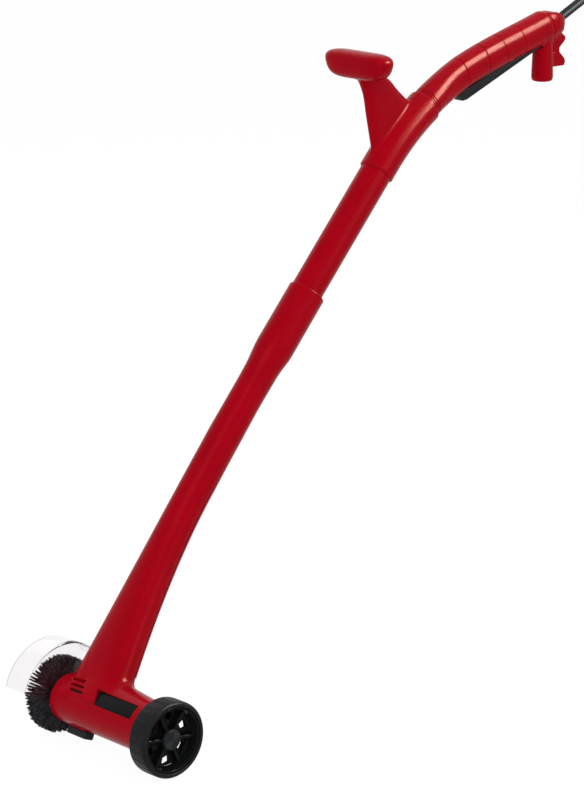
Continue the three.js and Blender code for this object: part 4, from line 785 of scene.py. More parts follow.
class PatioSizes(bpy.types.PropertyGroup):
    """Sizes that change how the visible pieces are made."""
    bristle_count: count_property("Bristles", "Strands in one quarter of the brush", 1400, 100, 3000)
    bristle_thickness: length_property("Bristle radius", "Radius of one strand", 0.00032, 5)
    tuft_count: count_property("Tufts", "Tufts in one quarter of the brush", 18, 4, 60)
    brush_radius: length_property("Brush radius", "From the spindle's middle to the bristle tips", 0.0499)
    groove_depth: length_property("Groove depth", "Depth of the thin grooves round the rear grip", 0.0010)
    parting_gap: length_property("Parting gap", "Width of the line between two shells", 0.0003)
    skin_step: length_property("Skin step", "Size of the faces of the moulded shells", 0.001)
    tread_count: count_property("Tread blocks", "Shallow blocks round the tyre", 26, 6, 90)
    rib_count: count_property("Relief ribs", "Ribs along the strain relief", 13, 3, 30)


class PatioColours(bpy.types.PropertyGroup):
    """Colours of the main materials."""
    red: colour_property("Red plastic", "Colour of the moulded shells", (0.40, 0.0006, 0.009))
    black: colour_property("Black plastic", "Colour of the lever, button and hub", (0.010, 0.011, 0.012))
    rubber: colour_property("Rubber", "Colour of the tyre and the lead", (0.008, 0.008, 0.009))
    steel: colour_property("Steel", "Colour of the metal pieces", (0.52, 0.53, 0.55))


MATERIALS = {}


def make_materials():
    """Every material once; the carried-over CAD pieces get theirs here as well."""
    hues = bpy.context.scene.patio_colours
    red, black, rubber, steel = tuple(hues.red), tuple(hues.black), tuple(hues.rubber), tuple(hues.steel)

    def toned(colour, factor):
        return tuple(min(1.0, c * factor) for c in colour)

    MATERIALS.update({
        "red_housing": material(
            "red plastic", red, toned(red, 0.88), 0.22, spread=0.02, patch=14, grain=700, bump=0.012,
            specular=0.05, sheen=(1, 0.45, 0.3), wear=0.1),
        "black_plastic": material(
            "black plastic", toned(black, 1.7), toned(black, 2.1), 0.42, spread=0.09, grain=1500, bump=0.12,
            specular=0.033, wear=0.3),
        "gloss_black": material(
            "gloss black plastic", toned(black, 0.5), toned(black, 0.8), 0.16, spread=0.05, grain=500,
            bump=0.02, specular=0.03, wear=0.15),
        "tyre_rubber": material(
            "tyre rubber", rubber, toned(rubber, 1.9), 0.38, spread=0.12, patch=40, grain=1300, bump=0.16,
            specular=0.055, wear=0.25),
        "lead_rubber": material(
            "lead rubber", toned(rubber, 1.8), toned(rubber, 2.8), 0.45, spread=0.08, grain=1800, bump=0.1,
            specular=0.08, wear=0.5),
        # Pale streaks out from the axle: partly the strands' own mixed tone, partly painted highlight for the glints
        # on the strands
        "nylon_bristle": material(
            "nylon", (0.004, 0.005, 0.006), (0.17, 0.185, 0.2), 0.4, spread=0.1, patch=1100, grain=2400,
            bump=0.05, specular=0.03, bias=0.12, spokes=tuple(AXLE * MM + ORIGIN), stretch=(0.05, 0.8, 0.14)),
        "steel": material(
            "steel", steel, toned(steel, 0.8), 0.3, spread=0.1, patch=60, grain=800, bump=0.05, metallic=1.0,
            specular=0.5, stretch=(1, 6, 1)),
        "copper": material(
            "copper", (0.62, 0.27, 0.12), (0.5, 0.2, 0.09), 0.34, patch=80, grain=900, metallic=1.0,
            specular=0.5),
        "clear_guard": material(
            "clear plastic", (0.9, 0.88, 0.888), (0.87, 0.85, 0.858), 0.03, spread=0.02, patch=30, grain=260,
            bump=0.008, specular=0.5, transmission=1.0, ior=1.26),
        # A darker clear plastic for the guard's rim: painted shade for the dark edge lines of the clear guard
        "clear_rim": material(
            "clear plastic rim", (0.5, 0.48, 0.49), (0.42, 0.4, 0.41), 0.06, spread=0.03, patch=30, grain=260,
            bump=0.01, specular=0.5, transmission=1.0, ior=1.26),
        "graphite": material(
            "graphite", (0.03, 0.03, 0.034), (0.05, 0.05, 0.055), 0.55, patch=120, grain=1600, bump=0.2,
            metallic=0.3),
        "pale_plastic": material(
            "pale plastic", (0.6, 0.6, 0.56), (0.52, 0.52, 0.48), 0.45, grain=1400, bump=0.08, wear=0.1),
    })
    slots = {row["node"]: row["material_slot"] for row in frame["record"]["subparts"]}
    for name, obj in frame["nodes"].items():
        obj.data.materials.clear()
        obj.data.materials.append(MATERIALS[slots[name]])


def second_material(obj, finish, chosen):
    """Gives a second material to the faces whose middles, from the brush's centre, are chosen."""
    obj.data.materials.append(MATERIALS[finish])
    for face in obj.data.polygons:
        if chosen(*(machine(np.array(face.center)) - AXLE)):
            face.material_index = 1


def finish_piece(obj, finish, body, *nodes):
    """Gives a piece its material, its body and the CAD nodes that it stands for."""
    obj.data.materials.clear()
    obj.data.materials.append(MATERIALS[finish])
    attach(obj, body)
    if nodes:
        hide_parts(*nodes)
    return obj


# Shells
def screw_places():
    """Where each screw's head sits and which way it faces."""
    out = outward(LOWER_LEAN)
    places = {}
    for i, turn in enumerate((20 * DEGREE, 200 * DEGREE)):
        centre = AXLE + (X * math.cos(turn) + Z * math.sin(turn)) * 21.5
        places[f"guard_screw_{i + 1}"] = (centre + Y * GUARD_BACK, Y)
    for i, station in enumerate((LOWER_LENGTH / 3.2, LOWER_LENGTH / 1.08)):
        rear = STEM_RADIUS - STEM_FORWARD
        foot = stem_point(station, -STEM_FORWARD, 10.5)
        places[f"housing_screw_{i + 1}"] = (foot - out * (rear - SCREW_DEPTH), -out)
    rear = math.sqrt(BARREL_RADIUS ** 2 - 19 ** 2)
    foot = AXLE + along(LOWER_LEAN) * 19 + Y * -176
    places["housing_screw_3"] = (foot - out * (rear - SCREW_DEPTH), -out)
    places["grip_screw"] = (stem_point(935, 0, 14.3), Y)
    places["fin_screw"] = (stem_point(834, 62, 5.4) + along(stem_frame(834)[1]) * 14, Y)
    return places


def pocket(name):
    """A cutter for the round hole above a screw's head."""
    place, way = screw_places()[name]
    return bar("pocket", place - way * 0.2, place + way * 16, 3.7, 40, edge=0)


def flare_at(station):
    """How much wider than its radius the stem is on the wheel's side."""
    return FLARE_WIDTH * max(0.0, (FLARE_LENGTH - station) / FLARE_LENGTH) ** 1.6


def lower_ring(station):
    """A ring of the lower stem, which flares towards the barrel and widens to the socket."""
    flare = flare_at(station)
    past = max(0.0, station - LOWER_LENGTH + SOCKET_TAPER / 2)
    share = min(1.0, past / SOCKET_TAPER)
    swell = (SOCKET_RADIUS - STEM_RADIUS) * share * share * (3 - 2 * share)
    point, lean = stem_frame(station)
    front = np.interp(station, (0, 380, 455), (1.9, 1.7, 0.0))
    rear = np.interp(station, (430, 505, SOCKET_MOUTH), (0.0, 2.4, 1.9))
    point = point + (outward(lean) * 0.74 + Y * 0.67) * (front - rear) / 2
    radius = STEM_RADIUS + swell + (front + rear) / 2
    return even(oval(
        point - Y * flare / 2, Y, outward(lean), radius + flare / 2, radius, STEM_SIDES,
        2 + 0.9 * flare / FLARE_WIDTH,
    ))


def side_axes(angle):
    """Along the barrel, round it and away from it, at an angle about its axis."""
    c, s = math.cos(angle), math.sin(angle)
    return Y, np.array([-s, 0.0, c]), np.array([c, 0.0, s])


def plate_outline(grow=0.0):
    """The name plate's outline, along the barrel and round it."""
    low, high = -PLATE_HALF - grow, PLATE_HALF + grow
    return rounded([(-93 + grow, low, 1.2), (-101 + grow, high, 1.2), (-169 - grow, high, 1.2),
                    (-169 - grow, low, 1.2)], steps=5)


def lock_outline(grow=0.0):
    """The lock cap's outline, along the barrel and round it."""
    low, high, half = LOCK_LOW - grow, LOCK_HIGH + grow, 8 + grow
    return rounded([(low, -half, 2.5), (high, -half, 2.5), (high, half, 2.5), (low, half, 2.5)], steps=6)


def build_housing():
    barrel = turned_body("barrel", [
        (0, BARREL_END), (BARREL_RADIUS, BARREL_END, 5), (BARREL_RADIUS, BARREL_START, 7), (0, BARREL_START),
    ], 220, steps=8)
    up, out = along(LOWER_LEAN), outward(LOWER_LEAN)
    rings = []
    for share in np.linspace(0, 1, 40):
        y = SHOULDER_START + share * (SHOULDER_END - SHOULDER_START)
        centre = AXLE + up * (17 * (1 - share) + 4.6 * share) + Y * y
        inward = 1 - 0.12 * max(0, (0.06 - share) / 0.06) - 0.1 * max(0, (share - 0.97) / 0.03)
        rings.append(oval(centre, up, out, SHOULDER_RADIUS * inward, SHOULDER_RADIUS * inward, 160))
    shoulder = loft("shoulder", rings)
    stem = loft("stem", [lower_ring(s) for s in np.arange(0, 316, 5.0)])
    body = soft_union("body", [barrel, shoulder, stem], 1.2, 9.0)
    cuts = []
    for angle, middle, half in ((108.5, -53, 13), (120.5, -57, 13), (132.5, -60.5, 12.5)):
        axes = side_axes(angle * DEGREE)
        cuts.append(prism("slot", rounded_box(half, 1.9, 1.4), VENT_FLOOR, 46, AXLE + Y * middle, axes))
    cuts.append(prism("recess", plate_outline(0.4), PLATE_FACE - 1.5, 60, AXLE, side_axes(PLATE_ANGLE)))
    lock_axes = side_axes(LOCK_ANGLE)
    cuts.append(prism("pocket", lock_outline(0.5), 25.5, 60, AXLE, lock_axes))
    middle = AXLE + Y * LOCK_STEM_Y
    cuts.append(bar("stem way", middle + lock_axes[2] * 18, middle + lock_axes[2] * 30, 4.8, 40))
    carved(body, *cuts, pocket("housing_screw_1"), pocket("housing_screw_3"))
    limit = stem_frame(JOIN_STATION)[0]
    with opened(body) as bm:
        bisect(bm, limit, up, clear_outer=True)
    rings = [lower_ring(s) for s in np.arange(JOIN_STATION, SOCKET_MOUTH - 1.4, 4.0)]
    mouth, lean = stem_frame(SOCKET_MOUTH)
    last, middle = lower_ring(SOCKET_MOUTH), mouth - (outward(lean) * 0.74 + Y * 0.67) * 0.9
    for back, sink in ((1.3, 0.0), (0.7, 0.1), (0.25, 0.45), (0.0, 1.0)):
        spokes = last - middle
        spokes *= 1 - sink / np.linalg.norm(spokes, axis=1)[:, None]
        rings.append(middle + spokes - along(lean) * back)
    for back in (0.0, 14.0):
        rings.append(even(oval(mouth - along(lean) * back, Y, outward(lean), SOCKET_BORE, SOCKET_BORE, STEM_SIDES)))
    upper = carved(loft("upper", rings), pocket("housing_screw_2"))
    place = Vector(world(limit))
    with opened(upper) as bm:
        ends = [f for f in bm.faces if all(abs((v.co - place).dot(up)) < 1e-6 for v in f.verts)]
        bmesh.ops.delete(bm, geom=ends, context="FACES")
    whole = joined("housing", body, upper)
    whole.data.validate()
    front, rear = split(whole, ("housing_front", "housing_rear"), AXLE, out, 2.2)
    step_rear_edge(rear)
    finish_piece(front, "red_housing", "housing", "housing_front_shell")
    # The vent floors are painted black as shade
    paint_vent_shade(front)
    finish_piece(rear, "red_housing", "housing", "housing_rear_shell")


def paint_vent_shade(front):
    """The floors of the vents take the black of the space behind them."""
    second_material(front, "black_plastic", lambda x, y, z: (
        x < 0 < z and -76 < y < -36 and math.hypot(x, z) < VENT_FLOOR + 0.6))


def step_rear_edge(rear, notch=53.0, rise=1.3):
    """The rear shell stands slightly proud of the front one along the stem, from a notch above the barrel."""
    point, lean = stem_frame(notch)
    cut_loops(rear, [(point, along(lean)), (point - along(lean) * 0.4, along(lean))])
    mesh = rear.data
    co, no = coordinates(mesh), directions(mesh)
    place = machine(co)
    run = (place - point) @ along(lean)
    wheel_side = place[:, 1] < STEM_Y - 8
    fade = np.clip(1 - (run - 230) / 60, 0, 1)
    near = np.clip(1.6 - np.abs((place - AXLE) @ outward(lean)) / 14, 0, 1)
    lift = np.where(wheel_side & (run > -0.05), rise * fade * near, 0)
    side = no - np.outer(no @ outward(lean), outward(lean))
    set_coordinates(mesh, co + side * (lift * MM)[:, None])


def build_tube():
    rings = []
    for station in np.concatenate([np.arange(523, 800, 6.0), np.arange(800, TUBE_END + 0.1, 2.5)]):
        point, lean = stem_frame(station)
        rings.append(oval(point, Y, outward(lean), STEM_RADIUS, STEM_RADIUS, 160))
    finish_piece(loft("middle_tube_skin", rings), "red_housing", "housing", "middle_tube")


def build_aux_handle():
    rings = []
    for station in (778, 778.3, 779, 780, *np.arange(783, 892, 4.0), 894, 895, 895.7, 896):
        sink = 1.6 * max(0, 1 - min(station - SLEEVE_START, SLEEVE_END - station) / 1.6) ** 2
        point, lean = stem_frame(station)
        rings.append(oval(point, Y, outward(lean), SLEEVE_RADIUS - sink, SLEEVE_RADIUS - sink, 192))
    sleeve = loft("sleeve", rings)
    station = SLEEVE_START + 56
    lean = stem_frame(station)[1]
    # Forward, out, share of the turn to level and half the depth of the fin's rings
    table = np.array([(-1.0, 12.0, 0.0, 46.0), (2.0, 22.0, 0.0, 42.5), (11.0, 54.0, 0.15, 30.5),
                      (19.3, 78.0, 0.5, 22.5), (20.3, 102.0, 0.9, 17.0), (19.0, 116.0, 1.0, 14.0)])
    rings = []
    for share in np.linspace(0, len(table) - 1, 60):
        forward, out, turn, half = [smooth_between(column, share) for column in table.T]
        way = along(lean + turn * (math.pi / 2 - lean))
        rings.append(even(oval(stem_point(station, out) + along(lean) * forward, Y, way, 8.0, half, 96, 2.7)))
    fin = loft("fin", rings)
    centre = stem_point(station, 120) + along(lean) * 19.6
    rings = []
    for share in np.sin(np.linspace(-1, 1, 61) * math.pi / 2) * 0.9995:
        fill = (1 - abs(share) ** 5.5) ** 0.42
        ring = even(oval(centre, X, Z, 17.6 * fill, 17.8 * fill, 96, 2.7))
        below = (1 - (ring[:, 2] - centre[2]) / 17.8) / 2
        ring[:, 1] += (share * 61.5 + 2.2) * (1 - 0.24 * below)
        rings.append(ring)
    whole = soft_union("aux", [sleeve, fin, loft("cross", rings)], 0.9, 5.0)
    carved(whole, pocket("fin_screw"))
    for half, node in zip(split(whole, ("aux_handle_right_skin", "aux_handle_left_skin")),
                          ("aux_handle_right", "aux_handle_left")):
        finish_piece(half, "red_housing", "housing", node)


def smooth_between(values, share):
    """A value between stops, on a smooth curve through them."""
    count = len(values)
    i = min(int(share), count - 2)
    t = share - i
    slopes = np.gradient(np.asarray(values, float))
    a, b = values[i], values[i + 1]
    m, n = slopes[i], slopes[i + 1]
    return ((2 * t ** 3 - 3 * t ** 2 + 1) * a + (t ** 3 - 2 * t ** 2 + t) * m
            + (3 * t ** 2 - 2 * t ** 3) * b + (t ** 3 - t ** 2) * n)


# How far the grip's middle arches off the stem's line, every 30 mm from station 880
GRIP_ARCH = (0.0, 0.8, 1.8, 3.2, 3.9, 3.6, 2.6, 1.2, 0.0, -0.6, -1.2)


def grip_ring(station):
    """A ring of the rear grip, from the stem's round to a deep oval that closes at the end."""
    share = min(1.0, max(0.0, (station - SLEEVE_END) / GRIP_BLEND))
    share = share * share * (3 - 2 * share)
    into = max(0.0, station - GRIP_END + GRIP_END_ROUND) / GRIP_END_ROUND
    fill = math.sqrt(max(0.0, 1 - 0.7 * into ** 2))
    point, lean = stem_frame(station)
    arch = smooth_between(GRIP_ARCH, (max(station, 880.0) - 880) / 30) - GRIP_END_SINK * into ** 2
    point = point + outward(lean) * arch
    wide = STEM_RADIUS + (GRIP_HALF_WIDTH - STEM_RADIUS) * share
    deep = STEM_RADIUS + (GRIP_HALF_HEIGHT - STEM_RADIUS) * share
    return even(oval(point, Y, outward(lean), wide * fill, deep * fill, STEM_SIDES, 2 + 0.4 * share))


def lever_outline(grow):
    """Corners of the lever, seen from the side, each with the radius that rounds it."""
    low = 3 * grow
    corners = [
        (stem_point(945 - grow, -13 + grow), 1.0), (stem_point(953 - grow, -29.5 - low), 1.5),
        (stem_point(961 + 6 * grow, -31.4 - low), 3.0), (stem_point(1123, -20.9 - low), 1.5),
        (stem_point(1123, -14 + grow), 1.0),
    ]
    return [(p[0], p[2], r) for p, r in corners]


def trim_grip_end(grip):
    """Flattens the top and the back of the grip's rear end, with a low ridge across the top."""
    place = machine(coordinates(grip.data))
    ridge = 1.5 * np.exp(-((place[:, 0] - 810) / 3.5) ** 2)
    for corner, way, low, extra in (
            ((791.0, 836.4), (0.17, 0.985), 770.0, ridge), ((826.8, 819.3), (0.851, -0.526), 810.0, 0.0)):
        way = X * way[0] + Z * way[1]
        depth = (place - X * corner[0] - Z * corner[1]) @ way - extra
        share = np.clip(0.5 - 0.5 * depth / 2.5, 0, 1)
        wanted = depth * share - 2.5 * share * (1 - share)
        measure = place[:, 2 if low > 800 else 0]
        hold = np.clip((measure - low) / 8, 0, 1)
        place = place + np.outer((wanted - depth) * hold, way)
    set_coordinates(grip.data, world(place))


def build_rear_grip():
    start = GRIP_END - GRIP_END_ROUND
    stations = [*np.arange(TUBE_END + 0.3, start, 4.0),
                *(GRIP_END - GRIP_END_ROUND * (1 - np.sin(np.linspace(0, 1, 14) * math.pi / 2)))]
    main = loft("main", [grip_ring(s) for s in stations])
    drops, radii = zip((0, 12.8), (30, 12.8), (66, 14.1), (69, 14.0), (71.5, 13.4), (73.3, 12.2), (74, 10.4))
    post = loft("post", [
        oval(POST_CENTRE - Z * d, X, Y, np.interp(d, drops, radii), np.interp(d, drops, radii), 120, 2.3)
        for d in (*range(0, 69, 4), 69, 70.5, 71.5, 72.5, 73.3, 73.7, 74)])
    teeth = rounded([
        (0, 0), (26, 0, 2), (25.2, -8, 3), (37.6, -16.5, 2), (37.6, -21.5, 2), (26.5, -31, 3), (26.5, -36.5, 3),
        (36.8, -46.5, 2.4), (37.8, -51, 2), (35.6, -56, 1.2), (0, -56),
    ], steps=5)
    hook = slab("hook", teeth, -7, 7, POST_CENTRE, edge=1.6, steps=5)
    boss = bar("boss", *[stem_point(PIVOT_STATION, -15.6, side) for side in (-13.4, 13.4)], 3.6, 48, edge=1.0)
    whole = soft_union("grip", [main, post, hook, boss], 0.9, 4.0)
    trim_grip_end(whole)
    depth = sizes().groove_depth / MM
    thin = [(station, depth, 1.8) for station in (968, 1009, 1043, 1079)]
    thinner = [(station, depth * 0.8, 1.4) for station in (899.3, 902.7)]
    grooved(whole, [*thin, *thinner, (1134, 0.9, 6.0)])
    top_front, top_rear = stem_point(944, 1.5), stem_point(1123, -9)
    corners = [(top_front[0], top_front[2], 0), *lever_outline(0.6)[1:4], (top_rear[0], top_rear[2], 0)]
    carved(whole, prism("slot", rounded(corners), -9.6, 9.6, Y * STEM_Y), pocket("grip_screw"))
    for half, node in zip(split(whole, ("grip_right_skin", "grip_left_skin")),
                          ("grip_right_shell", "grip_left_shell")):
        finish_piece(half, "red_housing", "housing", node)


def build_lever():
    outline = rounded(lever_outline(0.0), steps=6)
    body = slab("lever", outline, -9, 9, Y * STEM_Y, edge=2.2, steps=5)
    carved(body, bar("spring well", stem_point(SPRING_STATION, -24.6), stem_point(SPRING_STATION, -9), 5.4, 40))
    eye = bar("eye", stem_point(PIVOT_STATION, -16, -9), stem_point(PIVOT_STATION, -16, 9), 4.4, 40)
    finish_piece(joined("lever_skin", body, eye), "black_plastic", "lever", "switch_lever")


# Foot
def build_small_fittings():
    plate = slab("name_plate_skin", plate_outline(), PLATE_FACE - PLATE_THICKNESS, PLATE_FACE, AXLE,
                 side_axes(PLATE_ANGLE), edge=0.4)
    finish_piece(plate, "gloss_black", "housing", "name_plate")
    axes = side_axes(LOCK_ANGLE)
    cap = slab("cap", lock_outline(), 31.3, 40.9, AXLE, axes, edge=2.4, steps=4)
    hollow = prism("hollow", inset(lock_outline(), 1.8), 20, 34.9, AXLE, axes, edge=0.2)
    middle, out = AXLE + Y * LOCK_STEM_Y, axes[2]
    carved(cap, hollow, bar("well", middle + out * 33, middle + out * 39, 6.2, 40))
    stem = bar("stem", middle + out * 26, middle + out * 39.4, 4.2)
    finish_piece(joined("lock_button_skin", cap, stem), "black_plastic", "lock", "lock_button")


def arc(radius, angles):
    return [(radius * math.cos(a), radius * math.sin(a)) for a in angles]


def sector(inner, outer, angles):
    """The outline of a piece of a flat ring."""
    return np.array(arc(outer, angles) + arc(inner, angles[::-1]))


def build_guard():
    angles = np.linspace(GUARD_START, GUARD_END, 120)
    guard = slab("guard_skin", sector(GUARD_RADIUS - GUARD_WALL, GUARD_RADIUS, angles), GUARD_BACK - GUARD_WALL,
                 GUARD_FRONT, AXLE, edge=0.5)
    lap = math.pi / 8
    rest = np.linspace(GUARD_END + lap, GUARD_START - lap + 2 * math.pi, 90)
    back = np.array(arc(67.3, angles) + arc(27, rest))
    back = slab("back", back, GUARD_BACK - GUARD_WALL, GUARD_BACK, AXLE, edge=0.4)
    carved(guard, back, operation="UNION")
    carved(guard, lathe("bore", [(0, -30), (9, -30), (9, 10), (0, 10)], 64))
    finish_piece(guard, "clear_guard", "housing", "brush_guard")

    def on_rim(x, y, z):
        inside = GUARD_START + 0.008 < math.atan2(z, x) < GUARD_END - 0.008
        return math.hypot(x, z) > 66 and (y > 24.4 or not inside)

    # The rim faces take the darker clear plastic, painted shade for the guard's dark edge lines
    second_material(guard, "clear_rim", on_rim)


def build_brush():
    tree = bristle_tree()
    quarter = math.pi / 2
    for i in range(4):
        obj = from_tree(f"bristles_{i + 1}_skin", tree, {
            "Count": sizes().bristle_count, "Root radius": 0.0192, "Tip radius": sizes().brush_radius,
            "Unevenness": 0.0042, "Tufts": sizes().tuft_count, "Root spread": 0.0066, "Tip spread": 0.009,
            "Start": i * quarter, "Sweep": quarter, "Thickness": sizes().bristle_thickness,
            "Bend": 0.0014, "Seed": 5 + 100 * i, "Material": MATERIALS["nylon_bristle"],
        }, AXLE)
        trim = 0.4 * DEGREE
        turns = np.linspace(i * quarter + trim, (i + 1) * quarter - trim, 24)
        backing = slab("backing", sector(16.9, 20, turns), -8.5, 8.5, AXLE, edge=0.5)
        obj = joined(f"bristles_{i + 1}_skin", obj, backing)
        finish_piece(obj, "nylon_bristle", "spindle", f"bristles_{i + 1}")
    hub = turned_body("brush_hub_skin", [(4.3, -9), (16.2, -9, 0.8), (16.2, 9, 0.8), (4.3, 9)], closed=True)
    finish_piece(hub, "black_plastic", "spindle", "brush_hub")
    flange = turned_body("clamp_flange_skin", [
        (4.3, 9.3), (15, 9.3, 0.3), (15, 10.3, 0.4), (12, 11.5, 0.8), (4.3, 11.5, 0.3)], closed=True)
    finish_piece(flange, "steel", "spindle", "clamp_flange")
    flats = rounded([(7 * math.cos(a), 7 * math.sin(a), 0.4) for a in np.arange(6) * math.pi / 3], steps=3)
    nut = slab("clamp_nut_skin", flats, 11.8, 16.6, AXLE, edge=0.6)
    carved(nut, lathe("bore", [(0, 5), (4.25, 5), (4.25, 20), (0, 20)], 64))
    finish_piece(nut, "steel", "spindle", "clamp_nut")


def build_wheel():
    tyre = turned_body("tyre", [
        (41.8, -221.2, 0.6), (45.6, -221.2, 1.6), (47.6, -218.9, 1.8), (47.6, -194.0, 1.8), (45.6, -191.7, 1.4),
        (41.8, -191.7, 0.6)], 180, WHEEL_AXIS, closed=True, steps=6)
    outline = rounded([(-12, -4.4, 2.0), (10.5, -4.4, 2.0), (12, 4.4, 2.0), (-10.5, 4.4, 2.0)])
    block = slab("block", outline, 0.0, 1.0, axes=(Y, Z, X), edge=0.7, steps=4)
    treads = repeated("treads", copies_tree(), block, "tyre_rubber", {
        "Count": sizes().tread_count, "Radius": 0.0468, "Start": 0.0}, WHEEL_AXIS + Y * -206.4)
    finish_piece(joined("tyre_skin", tyre, treads), "tyre_rubber", "wheel", "wheel_tyre")
    rim = turned_body("rim", [
        (41.4, -219.8, 0.9), (41.4, -193.1, 0.6), (37.4, -193.1, 0.6), (37.0, -204.6, 1.0), (9.5, -204.6, 1.0),
        (9.5, -191.4, 0.5), (4.3, -191.4), (4.3, -214.0), (10.5, -214.0, 0.8), (10.5, -207.0, 1.2),
        (35.0, -207.0, 3.0), (38.6, -219.8, 0.9)], 180, WHEEL_AXIS, closed=True, steps=6)
    cutters = []
    for i in range(6):
        angle = (i + 0.5) * math.pi / 3 - 6 * DEGREE
        turns = angle + np.linspace(-9.5, 9.5, 7) * DEGREE
        cutters.append(prism("window", sector(22.5, 32, turns), -212, -200, WHEEL_AXIS))
    carved(rim, *cutters)
    outline = rounded([(9.5, -8, 0.4), (36.5, -8, 0.4), (36.5, -0.5, 0), (9.5, -0.5, 0)])
    spoke = slab("spoke", outline, -2.0, 2.0, axes=(X, Y, Z), edge=0.8, steps=4)
    spokes = repeated("spokes", copies_tree(), spoke, "gloss_black", {
        "Count": 6, "Radius": 0.0, "Start": -6 * DEGREE}, WHEEL_AXIS + Y * -206.0)
    # A dark disc inside the rim behind its windows: painted shade, put where the inside of the wheel only shows shade
    cover = turned_body("cover", [
        (9.0, -193.2), (30.5, -193.2, 0.4), (30.5, -194.4, 0.4), (9.0, -194.4)], 120, WHEEL_AXIS, closed=True, steps=3)
    finish_piece(joined("rim_skin", rim, spokes, cover), "gloss_black", "wheel", "wheel_rim")
    cap = turned_body("hub_cap_skin", [
        (0, -218.9), (11.9, -218.9, 0.9), (12.8, -217.8, 0.5), (12.8, -214.4, 0.4), (4.3, -214.4), (4.3, -218.0),
        (0, -218.0)], centre=WHEEL_AXIS, steps=5)
    finish_piece(cap, "black_plastic", "wheel", "hub_cap")


# Lead
def turned_frame(axis):
    """Three axes of which the third is the given one."""
    axis = np.asarray(axis, float)
    first = np.cross(Y, axis)
    first /= np.linalg.norm(first)
    return first, np.cross(axis, first), axis


def ribs_of(name, inner, outer, half, values, centre, axis):
    """Rings in a line along an axis."""
    profile = [(inner, -half), (outer, -half, 0.5), (outer, half, 0.5), (inner, half)]
    ring = turned_body("rib", profile, 48, (0, 0, 0), Z, closed=True)
    return repeated(name, line_tree(), ring, "lead_rubber", values, centre, turned_frame(axis))


def build_relief():
    root = RELIEF_ROOT
    end = RELIEF_LENGTH + 0.9
    profile = [
        (0, -7.6), (8, -7.6, 0.4), (8, -4.6, 0.4), (5.6, -4.6), (5.4, 0), (5.4, 8), (5.6, end, 1.2), (0, end)]
    tip = root + RELIEF_AXIS * RELIEF_LENGTH - Z * 2.4
    root = root - Z * 2.9
    axis = (tip - root) / np.linalg.norm(tip - root)
    core = turned_body("core", profile, 48, root, axis)
    ribs = ribs_of("ribs", 4.8, 6.15, 0.9, {
        "Count": sizes().rib_count, "Length": 0.044, "End scale": 1.0}, root + axis * 3.0, axis)
    finish_piece(joined("strain_relief_skin", core, ribs), "lead_rubber", "housing", "strain_relief")


def build_plug(end):
    body = turned_body("body", [
        (0, 0.3), (5.6, 0.3, 0.8), (6.2, 6, 2), (11, 13, 5), (14.2, 22, 4), (17.9, 22.6, 1.2), (17.9, 36, 1.5),
        (0, 36)], 72, end, -Z, steps=5)
    pins = [bar("pin", end + X * s * 9.5 - Z * 33, end + X * s * 9.5 - Z * 55, 2.35, 32, edge=1.2) for s in (-1, 1)]
    collar = ribs_of("collar", 5.0, 6.9, 0.8, {
        "Count": 3, "Length": 0.006, "End scale": 1.15}, end - Z * 2.5, -Z)
    plug = joined("plug_skin", body, collar, *pins)
    finish_piece(plug, "lead_rubber", "housing", "plug")
    limit = end[2] - 36.1 - AXLE[2]
    second_material(plug, "steel", lambda x, y, z: z < limit)
    return plug


def build_lead():
    build_relief()
    exit_point = RELIEF_ROOT + RELIEF_AXIS * (RELIEF_LENGTH + 0.3)
    exit_point[1] = STEM_Y
    route = [exit_point + X * back + Z * up for back, up in LEAD_ROUTE]
    curve = bpy.data.curves.new("mains_lead_skin", "CURVE")
    curve.dimensions = "3D"
    curve.bevel_depth = LEAD_RADIUS * MM
    curve.bevel_resolution = 6
    curve.resolution_u = 8
    curve.use_fill_caps = True
    spline = curve.splines.new("NURBS")
    spline.points.add(len(route) - 1)
    for knot, point in zip(spline.points, route):
        knot.co = (*world(point), 1)
    spline.use_endpoint_u = True
    spline.order_u = 4
    lead = finish_piece(placed("mains_lead_skin", curve), "lead_rubber", "housing", "mains_lead")
    plug = build_plug(route[-1])


def build_screws():
    """Cross-head screws in the places of the CAD ones."""
    head = turned_body("head", [
        (0, 0), (3.1, 0, 0.2), (3.15, 0.3, 0.3), (2.7, 1.5, 1.0), (1.4, 2.0), (0, 2.0)], 48, (0, 0, 0), Z)
    arm = rounded_box(1.9, 0.4, 0.2)
    carved(head, *[prism("arm", arm, 0.9, 3.0, axes=axes, edge=0.05) for axes in ((X, Y, Z), (Y, -X, Z))])
    shank = lathe("shank", [(0, -8), (1.2, -7), (1.5, -6), (1.5, 0.4), (0, 0.4)], 24, (0, 0, 0), Z)
    places = screw_places().values()
    mesh = bpy.data.meshes.new("screw places")
    mesh.from_pydata([tuple(np.asarray(p) * MM) for p, _ in places], [], [])
    facing = mesh.attributes.new("facing", "FLOAT_VECTOR", "POINT")
    facing.data.foreach_set("vector", np.array([n for _, n in places], float).ravel())
    spots = placed("screw places", mesh)
    screws = repeated("screws_skin", scatter_tree(), joined("screw", head, shank), "steel", {"Places": spots},
                      (0, 0, 0))
    remove(spots)
    finish_piece(screws, "steel", "housing", *screw_places())


# Stage
def lamp(name, aim, azimuth, elevation, distance, size, power, diffuse=True):
    """A rectangular lamp at a direction and a distance in metres from what it is aimed at."""
    light = bpy.data.lights.new(name, "AREA")
    light.shape = "RECTANGLE"
    light.size, light.size_y = size
    light.energy = power
    obj = placed(name, light)
    a, e = azimuth * DEGREE, elevation * DEGREE
    spot = aim + distance * np.array([math.sin(a) * math.cos(e), -math.cos(a) * math.cos(e), math.sin(e)])
    obj.location = spot
    obj.rotation_euler = Vector(aim - spot).to_track_quat("-Z", "Y").to_euler()
    obj.visible_diffuse = diffuse


